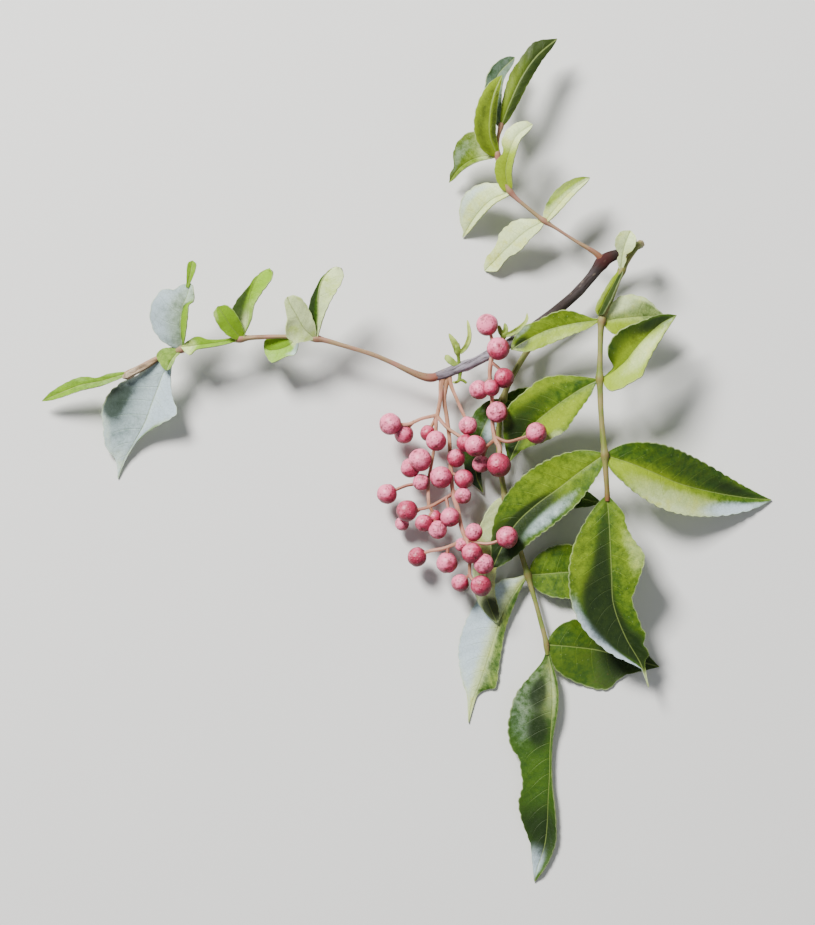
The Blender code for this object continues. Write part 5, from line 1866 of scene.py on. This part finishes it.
LEFT_LEAFLETS = (
    Leaflet(
        rib=(
            (-20.0, 26.5, 10.4), (-19.5, 30.6, 12.6), (-19.4, 34.5, 14.3), (-18.9, 38.1, 15.8),
            (-17.4, 40.9, 16.5), (-15.5, 42.1, 17.0),
        ),
        left=Half(2.4, lift=-1.4, margin=(
            (-20.9, 28.4), (-21.6, 31.5), (-21.2, 34.8), (-20.0, 37.4), (-18.5, 40.0),
        )),
        right=Half(1.2, lift=1.8, margin=(
            (-19.1, 28.4), (-18.2, 31.2), (-16.7, 34.5), (-15.0, 37.2), (-13.9, 39.4),
            (-14.1, 41.4),
        )),
        look=Look(pale=0.75, yellow=0.3, patches=(
            Patch(Tone.PALE, 0.4, 0.7, 0.6, 0.6, -0.95), Patch(Tone.DARK_AND_SHADE, 0.4, 0.7, 0.5, 0.5, 0.8),
            Patch(Tone.PALE, 0.8, -0.3, 0.3, 0.8, 0.3),
        )),
    ),
    Leaflet(
        rib=(
            (-20.3, 26.5, 10.6), (-22.7, 28.8, 12.6), (-24.2, 31.5, 14.2), (-25.6, 33.9, 15.3),
            (-26.2, 35.5, 15.8),
        ),
        left=Half(2.9, lift=1.0, margin=(
            (-22.4, 25.7), (-25.1, 25.5), (-26.7, 27.5), (-26.3, 30.6), (-26.6, 32.8),
            (-26.9, 34.5),
        )),
        right=Half(2.4, lift=0.8, margin=(
            (-19.9, 28.4), (-20.6, 31.0), (-21.5, 33.0), (-22.9, 35.0), (-24.7, 35.9),
        )),
        look=Look(pale=0.9, cool=0.15, yellow=0.2),
    ),
    Leaflet(
        rib=(
            (-24.1, 26.8, 10.3), (-26.0, 24.9, 9.5), (-28.4, 24.0, 8.7), (-30.6, 24.0, 7.9),
            (-31.5, 24.9, 7.4),
        ),
        left=Half(2.1, lift=0.6, margin=(
            (-23.8, 24.9), (-24.6, 22.9), (-26.8, 22.4), (-29.6, 21.1), (-31.1, 22.9),
        )),
        right=Half(1.6, lift=0.4, margin=(
            (-25.4, 26.6), (-27.7, 26.6), (-29.9, 26.9), (-31.2, 26.3),
        )),
        look=Look(yellow=0.95, patches=(
            Patch(Tone.PALE, 0.1, 0, 0.16, 2.0, 0.8), Patch(Tone.COOL_SHEEN, 0.2, 0.8, 0.25, 0.4, 0.7),
            Patch(Tone.DARK_AND_SHADE, 0.6, -0.6, 0.2, 0.3, 0.12),
        )),
    ),
    Leaflet(
        rib=(
            (-36.1, 26.6, 10.4), (-35.1, 29.7, 11.9), (-34.7, 33.2, 13.6), (-34.2, 36.3, 14.8),
            (-33.4, 38.7, 15.8), (-32.1, 40.7, 16.3), (-30.1, 41.7, 16.8),
        ),
        left=Half(3.4, lift=-2.2, margin=(
            (-37.6, 28.2), (-38.7, 31.5), (-37.6, 34.5), (-35.9, 36.5), (-34.5, 38.1),
            (-33.2, 39.9),
        )),
        right=Half(0.8, lift=2.2, margin=(
            (-35.5, 27.7), (-34.1, 30.6), (-33.4, 33.7), (-31.6, 36.5), (-29.9, 38.7),
            (-29.2, 40.5),
        )),
        look=Look(yellow=0.8, pale=0.35, patches=(
            Patch(Tone.YELLOW_AND_LIT, 0.9, 0, 0.3, 2.0, 0.5), Patch(Tone.PALE, 0.9, 0, 0.25, 2.0, -0.4),
            Patch(Tone.DARK_AND_SHADE, 0.4, 0.7, 0.4, 0.6, 0.9), Patch(Tone.PALE, 0.15, 0.1, 0.2, 0.5, 0.5),
        )),
    ),
    Leaflet(
        rib=((-36.5, 26.6, 10.6), (-38.7, 29.2, 12.6), (-40.1, 31.4, 13.8), (-41.5, 33.4, 14.4)),
        left=Half(1.9, widest=0.6, fullness=0.5),
        right=Half(2.2, widest=0.55, fullness=0.5),
        look=Look(yellow=1.15, pale=0.15, patches=(Patch(Tone.PALE, 0.9, 0.8, 0.2, 0.3, 0.4),)),
    ),
    Leaflet(
        rib=(
            (-37.0, 26.4, 10.4), (-40.5, 25.7, 11.0), (-44.0, 25.2, 11.2), (-47.1, 24.9, 11.0),
            (-49.6, 24.6, 10.6),
        ),
        left=Half(0.9, lift=0.5, margin=(
            (-39.6, 25.2), (-43.1, 24.5), (-46.2, 24.0), (-47.7, 22.7), (-48.9, 23.6),
        )),
        right=Half(0.9, lift=0.1, margin=(
            (-39.6, 26.4), (-43.6, 26.3), (-45.9, 27.0), (-48.0, 26.1),
        )),
        look=Look(yellow=0.75, pale=0.1, patches=(Patch(Tone.PALE, 0.9, 0, 0.2, 2.0, 0.6),)),
    ),
    Leaflet(
        rib=(
            (-49.5, 24.2, 9.6), (-49.7, 26.6, 11.0), (-49.8, 30.1, 12.9), (-49.3, 33.2, 14.4),
            (-48.2, 35.6, 15.3), (-47.3, 38.4, 16.0),
        ),
        left=Half(6.7, lift=0.8, margin=(
            (-51.5, 24.6), (-53.7, 25.7), (-55.7, 28.2), (-56.5, 31.5), (-55.9, 34.3),
            (-54.3, 36.7), (-52.7, 37.4), (-51.0, 37.0), (-50.1, 37.9), (-48.3, 38.4),
        )),
        right=Half(1.0, lift=2.0, margin=(
            (-49.1, 24.9), (-48.5, 27.5), (-48.0, 31.0), (-47.7, 33.7), (-46.6, 34.5),
            (-46.6, 36.3), (-46.9, 38.0),
        )),
        look=Look(cool=0.5, pale=0.5, deep=0.1, patches=(
            Patch(Tone.YELLOW_AND_LIT, 0.4, -0.8, 0.3, 0.6, 1.2),
            Patch(Tone.COOL_SHEEN, 0.4, -0.8, 0.3, 0.6, -0.7),
            Patch(Tone.PALE, 0.4, -0.8, 0.3, 0.6, -0.8), Patch(Tone.COOL_SHEEN, 0.5, 0.8, 0.4, 0.4, 0.3),
        )),
    ),
    Leaflet(
        rib=((-48.1, 37.6, 16.0), (-47.4, 40.6, 17.0), (-46.9, 43.4, 17.2)),
        left=Half(0.7, widest=0.78, fullness=1.5, lift=0.2),
        right=Half(0.7, widest=0.78, fullness=1.5, lift=0.4),
        look=Look(yellow=0.75),
    ),
    Leaflet(
        rib=(
            (-49.9, 24.2, 9.3), (-53.2, 19.6, 8.1), (-54.9, 15.6, 6.9), (-56.3, 12.1, 5.7),
            (-57.9, 7.9, 4.2), (-60.3, 3.5, 2.5), (-62.5, -0.4, 1.2), (-63.9, -4.3, 0.31),
        ),
        left=Half(6.0, lift=1.2, margin=(
            (-51.5, 21.3), (-51.9, 17.8), (-51.7, 14.7), (-51.0, 12.1), (-50.5, 10.8), (-51.0, 9.5),
            (-53.2, 8.2), (-55.4, 7.1), (-57.4, 5.9), (-59.5, 4.0), (-61.2, 1.5), (-62.7, -1.3),
        )),
        right=Half(9.9, lift=0.7, margin=(
            (-55.4, 22.0), (-58.5, 19.1), (-62.5, 17.2), (-64.9, 15.5), (-66.4, 13.6),
            (-67.4, 10.8), (-67.2, 7.7), (-67.0, 4.6), (-66.4, 2.2), (-64.9, 0.6), (-64.1, -1.3),
        )),
        tail=0.1,
        look=Look(cool=0.65, pale=0.3, deep=0.08, patches=(
            Patch(Tone.PALE, 0.4, 0.7, 0.5, 0.75, 0.8), Patch(Tone.COOL_SHEEN, 0.4, 0.7, 0.5, 0.7, 0.3),
            Patch(Tone.DARK_AND_SHADE, 0.4, 0.7, 0.5, 0.7, -0.2),
            Patch(Tone.YELLOW_AND_LIT, 0.66, 0.95, 0.22, 0.3, 0.9),
            Patch(Tone.PALE, 0.66, 0.95, 0.2, 0.3, -0.7),
            Patch(Tone.COOL_SHEEN, 0.66, 0.95, 0.2, 0.3, -0.5),
            Patch(Tone.DARK_AND_SHADE, 0.5, -0.8, 0.12, 0.26, 0.55),
            Patch(Tone.DARK_AND_SHADE, 0.5, -0.75, 0.24, 0.4, 0.25),
            Patch(Tone.DARK_AND_SHADE, 0.45, -0.4, 0.4, 0.5, 0.2),
            Patch(Tone.PALE, 0.93, -0.2, 0.12, 1.5, 0.8),
            Patch(Tone.PALE, 0.75, -0.95, 0.2, 0.16, 0.6),
            Patch(Tone.PALE, 0.3, -0.97, 0.3, 0.1, 0.6),
        )),
    ),
    Leaflet(
        rib=((-49.6, 24.2, 9.6), (-50.7, 23.0, 9.9), (-51.9, 21.4, 10.2), (-52.8, 19.5, 10.4)),
        left=Half(1.5, lift=0.3, margin=(
            (-49.9, 23.1), (-50.7, 22.4), (-51.1, 21.4), (-51.7, 20.3), (-52.2, 19.7),
        )),
        right=Half(1.7, lift=0.3, margin=(
            (-50.7, 24.5), (-51.9, 24.6), (-53.4, 24.4), (-54.6, 23.8), (-55.1, 23.1),
            (-55.0, 22.1), (-54.5, 21.3), (-53.9, 20.3), (-53.4, 19.7),
        )),
        look=Look(yellow=0.6, pale=0.35),
    ),
    Leaflet(
        rib=(
            (-61.0, 19.0, 8.5), (-67.0, 17.2, 8.2), (-72.0, 16.2, 7.2), (-76.5, 14.5, 5.4),
            (-80.5, 12.8, 3.4),
        ),
        left=Half(0.9, widest=0.55, fullness=1.0, lift=0.6),
        right=Half(1.5, widest=0.52, fullness=1.1, lift=-0.3, dent_at=0.34, dent=0.5),
        look=Look(yellow=0.62, patches=(
            Patch(Tone.PALE, 0.2, 0.5, 0.2, 0.6, 0.2), Patch(Tone.DARK_AND_SHADE, 0.6, -0.2, 0.3, 0.3, 0.1),
        )),
    ),
)

LEFT_LEAF = CompoundLeaf(
    name="left_leaf",
    rachis=(
        (7.2, 18.4, 7.4, 1.1), (5.4, 17.9, 7.6, 1.3), (3.4, 18.2, 7.9, 1.15),
        (0.0, 19.6, 8.4, 0.85), (-4.0, 21.5, 8.9, 0.7), (-8.0, 23.1, 9.4, 0.65),
        (-14.0, 24.9, 9.9, 0.65), (-20.2, 26.5, 10.2, 0.8), (-28.0, 26.9, 10.3, 0.6),
        (-36.2, 26.5, 10.2, 0.75), (-43.4, 25.3, 9.8, 0.6), (-50.0, 24.1, 9.4, 0.8),
        (-55.5, 21.9, 9.0, 0.65), (-62.0, 18.5, 8.4, 0.7),
    ),
    leaflets=LEFT_LEAFLETS, seed=6.1, ruddy_foot=0.7, ruddy_tip=0.2, slim=0.8,
    stalk=LEAF_STALK_WARM, blade=FRESH_BLADE,
    husk=(
        (-62.6, 18.0, 8.5, 0.35), (-61.5, 18.4, 8.6, 0.95), (-60.0, 19.2, 8.7, 0.85),
        (-58.4, 20.0, 8.8, 0.9), (-56.6, 20.9, 8.9, 0.7), (-55.0, 21.8, 9.0, 0.45),
    ),
    husk_finish=DRY_HUSK,
)

MAIN_CLUSTER = BerryCluster(
    name="berry_cluster_main",
    stalks=(
        branch(
            BRANCH_RADIUS, (7.9, 18.4, 7.2, 0.9), (7.5, 16.2, 7.2, 0.65), (7.3, 13.0, 7.4),
            (6.6, 9.2, 7.7),
        ),
        branch(
            STALK_RADIUS, (6.6, 9.6, 7.7, 0.5), (3.3, 8.9, 7.8), (0.4, 7.7, 7.3), (-3.0, 7.7, 7.6),
        ),
        branch(STALK_RADIUS, (1.6, 8.3, 7.5), (0.2, 6.8, 6.6), (-0.7, 5.5, 6.0)),
        branch(
            STALK_RADIUS, (6.5, 9.6, 7.7, 0.5), (8.5, 7.2, 8.2), (10.5, 5.7, 8.8), (13.4, 4.0, 9.6),
        ),
        branch(STALK_RADIUS, (12.4, 4.6, 9.4), (14.0, 3.8, 10.4), (15.0, 2.9, 11.0)),
        branch(STALK_RADIUS, (6.6, 9.6, 7.7, 0.5), (6.3, 7.0, 8.0), (6.4, 4.2, 8.8)),
        branch(STALK_RADIUS, (6.6, 9.4, 7.6, 0.5), (5.6, 7.6, 7.0), (4.6, 5.7, 6.5)),
        branch(
            STALK_RADIUS, (6.4, 8.2, 7.8, 0.5), (6.3, 4.8, 6.2), (5.6, 0.0, 5.6), (4.7, -5.2, 5.8),
            (4.8, -10.4, 6.4),
        ),
        branch(
            BRANCH_RADIUS, (8.9, 18.6, 7.0, 0.9), (8.6, 16.2, 7.0, 0.6), (8.2, 13.0, 6.4),
            (8.7, 9.5, 5.9), (9.3, 5.0, 5.9), (9.5, 0.0, 6.3), (10.1, -7.3, 7.1),
            (11.2, -11.2, 7.5), (12.1, -15.4, 7.9), (13.0, -17.8, 8.2),
        ),
        branch(
            STALK_RADIUS, (9.2, 18.6, 7.2, 0.7), (9.8, 16.0, 7.3, 0.5), (11.2, 12.6, 7.8),
            (13.2, 8.2, 8.4),
        ),
        branch(STALK_RADIUS, (7.8, -3.9, 7.2), (9.8, -3.2, 6.6), (12.0, -4.2, 7.0)),
        branch(STALK_RADIUS, (10.0, -7.0, 7.1), (12.0, -8.0, 7.2)),
        branch(
            STALK_RADIUS, (5.0, -3.9, 5.8), (1.8, -5.4, 5.6), (-0.4, -5.9, 5.4), (-3.9, -7.4, 5.4),
        ),
        branch(
            STALK_RADIUS, (10.3, -7.4, 7.1), (7.5, -9.2, 6.9), (4.6, -10.6, 6.5), (0.6, -11.4, 6.4),
        ),
        branch(STALK_RADIUS, (2.6, -11.2, 6.4), (0.6, -12.8, 5.0), (-0.8, -14.0, 3.8)),
        branch(STALK_RADIUS, (5.0, -10.4, 6.5), (5.8, -12.2, 6.6), (6.6, -15.2, 7.4)),
        branch(STALK_RADIUS, (5.6, -11.8, 6.6), (4.6, -13.0, 6.8), (3.8, -14.0, 7.0)),
        branch(STALK_RADIUS, (8.6, -8.6, 7.0), (9.0, -10.4, 7.6), (9.4, -12.4, 8.2)),
        branch(STALK_RADIUS, (12.4, -16.6, 8.0), (14.6, -16.4, 8.3)),
        branch(
            STALK_RADIUS, (12.6, -17.4, 8.1, 0.5), (16.1, -18.5, 8.8), (18.6, -18.5, 9.4),
            (21.6, -17.3, 9.9),
        ),
        branch(
            STALK_RADIUS, (13.2, -17.6, 8.1, 0.5), (8.4, -19.6, 7.2), (5.0, -20.3, 6.4),
            (2.6, -21.3, 5.7),
        ),
        branch(STALK_RADIUS, (9.0, -19.3, 7.3), (8.9, -21.0, 7.0), (8.8, -22.6, 6.6)),
        branch(
            STALK_RADIUS, (12.8, -17.2, 8.1, 0.5), (14.0, -20.4, 8.6), (13.8, -23.4, 7.6),
            (14.0, -26.0, 7.3), (16.0, -27.7, 7.8),
        ),
        branch(STALK_RADIUS, (14.0, -20.6, 8.5), (16.6, -22.8, 8.4)),
        branch(STALK_RADIUS, (13.9, -25.4, 7.3), (12.0, -27.0, 6.7)),
    ),
    berries=(
        (-3.7, 7.7, 7.8, 2.5), (-0.7, 5.5, 5.9, 2.2), (4.6, 5.7, 6.4, 1.8), (6.4, 4.0, 9.2, 2.3),
        (10.8, 0.2, 6.9, 2.1), (13.4, 7.3, 8.6, 2.1), (15.0, 2.9, 11.0, 2.4), (12.8, 3.5, 9.3, 2.0),
        (2.9, -0.2, 7.6, 2.6), (0.7, -2.0, 6.0, 2.2), (3.1, -5.1, 6.4, 1.9), (7.5, -4.0, 8.1, 2.5),
        (12.5, -4.4, 7.2, 2.2), (12.3, -8.1, 7.3, 1.9), (-4.4, -7.7, 5.4, 2.3),
        (0.0, -11.4, 6.4, 2.45), (-1.1, -14.3, 3.4, 1.6), (3.7, -14.1, 7.2, 2.0),
        (6.8, -15.6, 7.8, 2.1), (9.5, -12.8, 8.6, 2.2), (6.2, -12.8, 5.8, 1.6),
        (14.7, -16.1, 8.5, 2.0), (22.0, -17.2, 10.0, 2.5), (2.2, -21.6, 5.5, 2.2),
        (8.8, -22.9, 6.4, 2.4), (14.3, -20.7, 9.0, 2.4), (16.9, -23.1, 8.6, 2.3),
        (11.7, -27.3, 6.4, 2.0), (16.3, -27.9, 8.0, 2.4), (12.1, -18.9, 7.2, 1.6),
    ),
    stalk=CLUSTER_STALK, berry=BERRY_SKIN,
)

SIDE_CLUSTER = BerryCluster(
    name="berry_cluster_side",
    stalks=(
        branch(
            BRANCH_RADIUS, (20.0, 24.2, 7.4, 0.8), (19.0, 23.6, 9.2, 0.65), (18.4, 21.0, 9.7, 0.6),
            (18.2, 18.0, 9.3), (18.6, 14.6, 9.0), (18.8, 11.0, 8.9), (18.8, 7.5, 8.8),
            (19.3, 4.6, 9.0, 0.6), (20.3, 2.4, 9.4, 0.65), (20.2, -0.8, 9.8, 0.6),
        ),
        branch(
            STALK_RADIUS, (19.0, 23.4, 9.5, BRANCH_RADIUS), (18.6, 26.6, 9.8), (17.8, 29.0, 10.0),
        ),
        branch(BRANCH_RADIUS, (18.7, 22.2, 9.6), (19.8, 23.6, 11.4)),
        branch(STALK_RADIUS, (18.4, 21.4, 9.7), (20.2, 19.9, 10.0), (21.2, 18.2, 10.4)),
        branch(STALK_RADIUS, (18.2, 17.6, 9.3), (16.2, 15.6, 9.4)),
        branch(
            STALK_RADIUS, (19.2, 4.9, 9.0), (22.0, 3.8, 9.9), (25.0, 4.5, 11.3), (28.2, 5.6, 12.2),
        ),
        branch(STALK_RADIUS, (19.4, 4.4, 9.0), (17.4, 2.4, 8.2), (16.4, -0.6, 7.4)),
    ),
    berries=(
        (17.6, 29.5, 10.1, 2.5), (20.0, 24.2, 12.3, 2.6), (21.3, 17.8, 10.6, 2.3),
        (15.8, 15.2, 9.4, 2.2), (18.5, 15.6, 11.1, 1.9), (19.8, 10.3, 10.5, 2.4),
        (28.4, 5.7, 12.4, 2.4), (20.2, -1.3, 10.2, 2.75), (16.3, -1.1, 7.2, 2.0),
    ),
    stalk=CLUSTER_STALK, berry=BERRY_SKIN,
)

BUD_SHOOT_LEFT = BudShoot(
    name="bud_shoot_left",
    stalks=(
        (
            (11.5, 20.4, 7.2, 0.6), (11.4, 21.7, 7.6, 0.4), (11.3, 22.7, 7.8, 0.45),
            (11.1, 23.8, 8.0, 0.85), (10.9, 25.4, 8.1, 0.7),
        ),
    ),
    scales=(
        Leaflet(
            rib=((11.3, 23.2, 8.0), (10.4, 25.4, 8.6), (9.2, 27.6, 8.4)),
            left=Half(0.3, widest=0.35, fullness=0.8, lift=0.3),
            right=Half(0.55, widest=0.35, fullness=0.8, lift=0.3),
        ),
        Leaflet(
            rib=(
                (11.7, 23.3, 8.2), (13.0, 24.8, 8.6), (13.7, 26.8, 8.8), (13.6, 28.8, 8.6),
                (13.3, 30.5, 8.2),
            ),
            left=Half(0.22, widest=0.3, fullness=0.8, lift=0.2),
            right=Half(0.22, widest=0.3, fullness=0.8, lift=0.2),
        ),
        Leaflet(
            rib=((11.2, 20.6, 7.8), (9.8, 21.5, 7.8), (8.4, 22.8, 7.2)),
            left=Half(0.5, widest=0.6, lift=0.1),
            right=Half(0.4, widest=0.6, lift=0.1),
        ),
    ),
    finish=YOUNG_BUD,
)

BUD_SHOOT_RIGHT = BudShoot(
    name="bud_shoot_right",
    stalks=(
        (
            (20.8, 24.8, 7.2, 0.7), (21.1, 26.4, 8.0, 0.6), (21.3, 27.3, 8.2, 0.85),
            (21.2, 28.0, 8.2, 0.5),
        ),
    ),
    scales=(
        Leaflet(
            rib=((21.4, 27.2, 8.5), (21.7, 28.6, 8.7), (21.5, 29.9, 8.5)),
            left=Half(0.25, widest=0.35, lift=0.2),
            right=Half(0.25, widest=0.35, lift=0.2),
        ),
        Leaflet(
            rib=((21.0, 27.1, 8.4), (20.5, 28.2, 8.6), (20.2, 29.4, 8.4)),
            left=Half(0.2, widest=0.35, lift=0.2),
            right=Half(0.2, widest=0.35, lift=0.2),
        ),
        Leaflet(
            rib=(
                (21.3, 27.1, 8.5), (23.3, 27.8, 8.9), (25.2, 29.2, 9.0), (26.3, 30.6, 8.8),
                (26.4, 32.1, 8.4),
            ),
            left=Half(0.25, widest=0.3, fullness=0.8, lift=0.2),
            right=Half(0.28, widest=0.3, fullness=0.8, lift=0.2),
        ),
    ),
    finish=YOUNG_BUD,
)

BUD_SHOOT_UNDER = BudShoot(
    name="bud_shoot_under",
    stalks=(
        (
            (11.8, 19.4, 7.2, 0.5), (11.5, 17.5, 7.2, 0.4), (10.9, 16.9, 7.4, 0.35),
            (10.3, 16.9, 8.6, 0.3),
        ),
        ((11.4, 17.5, 7.2, 0.35), (12.3, 17.3, 7.2, 0.35), (13.1, 16.7, 7.2, 0.3)),
    ),
    scales=(),
    finish=YOUNG_BUD,
)


def main() -> None:
    """Load the frame, then build the studio and every sub-assembly."""
    studio = Studio()
    studio.build_camera()
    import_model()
    solid_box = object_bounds()
    box = Box(np.array(solid_box[0]), np.array(solid_box[1]))
    studio.build_lights()
    studio.build_floor()
    for part in (TWIG, RIGHT_LEAF, LOWER_LEAF, UPPER_LEAF, LEFT_LEAF, MAIN_CLUSTER, SIDE_CLUSTER):
        part.build(box)
    for shoot in (BUD_SHOOT_LEFT, BUD_SHOOT_RIGHT, BUD_SHOOT_UNDER):
        shoot.build(box)


if __name__ == "__main__":
    main()
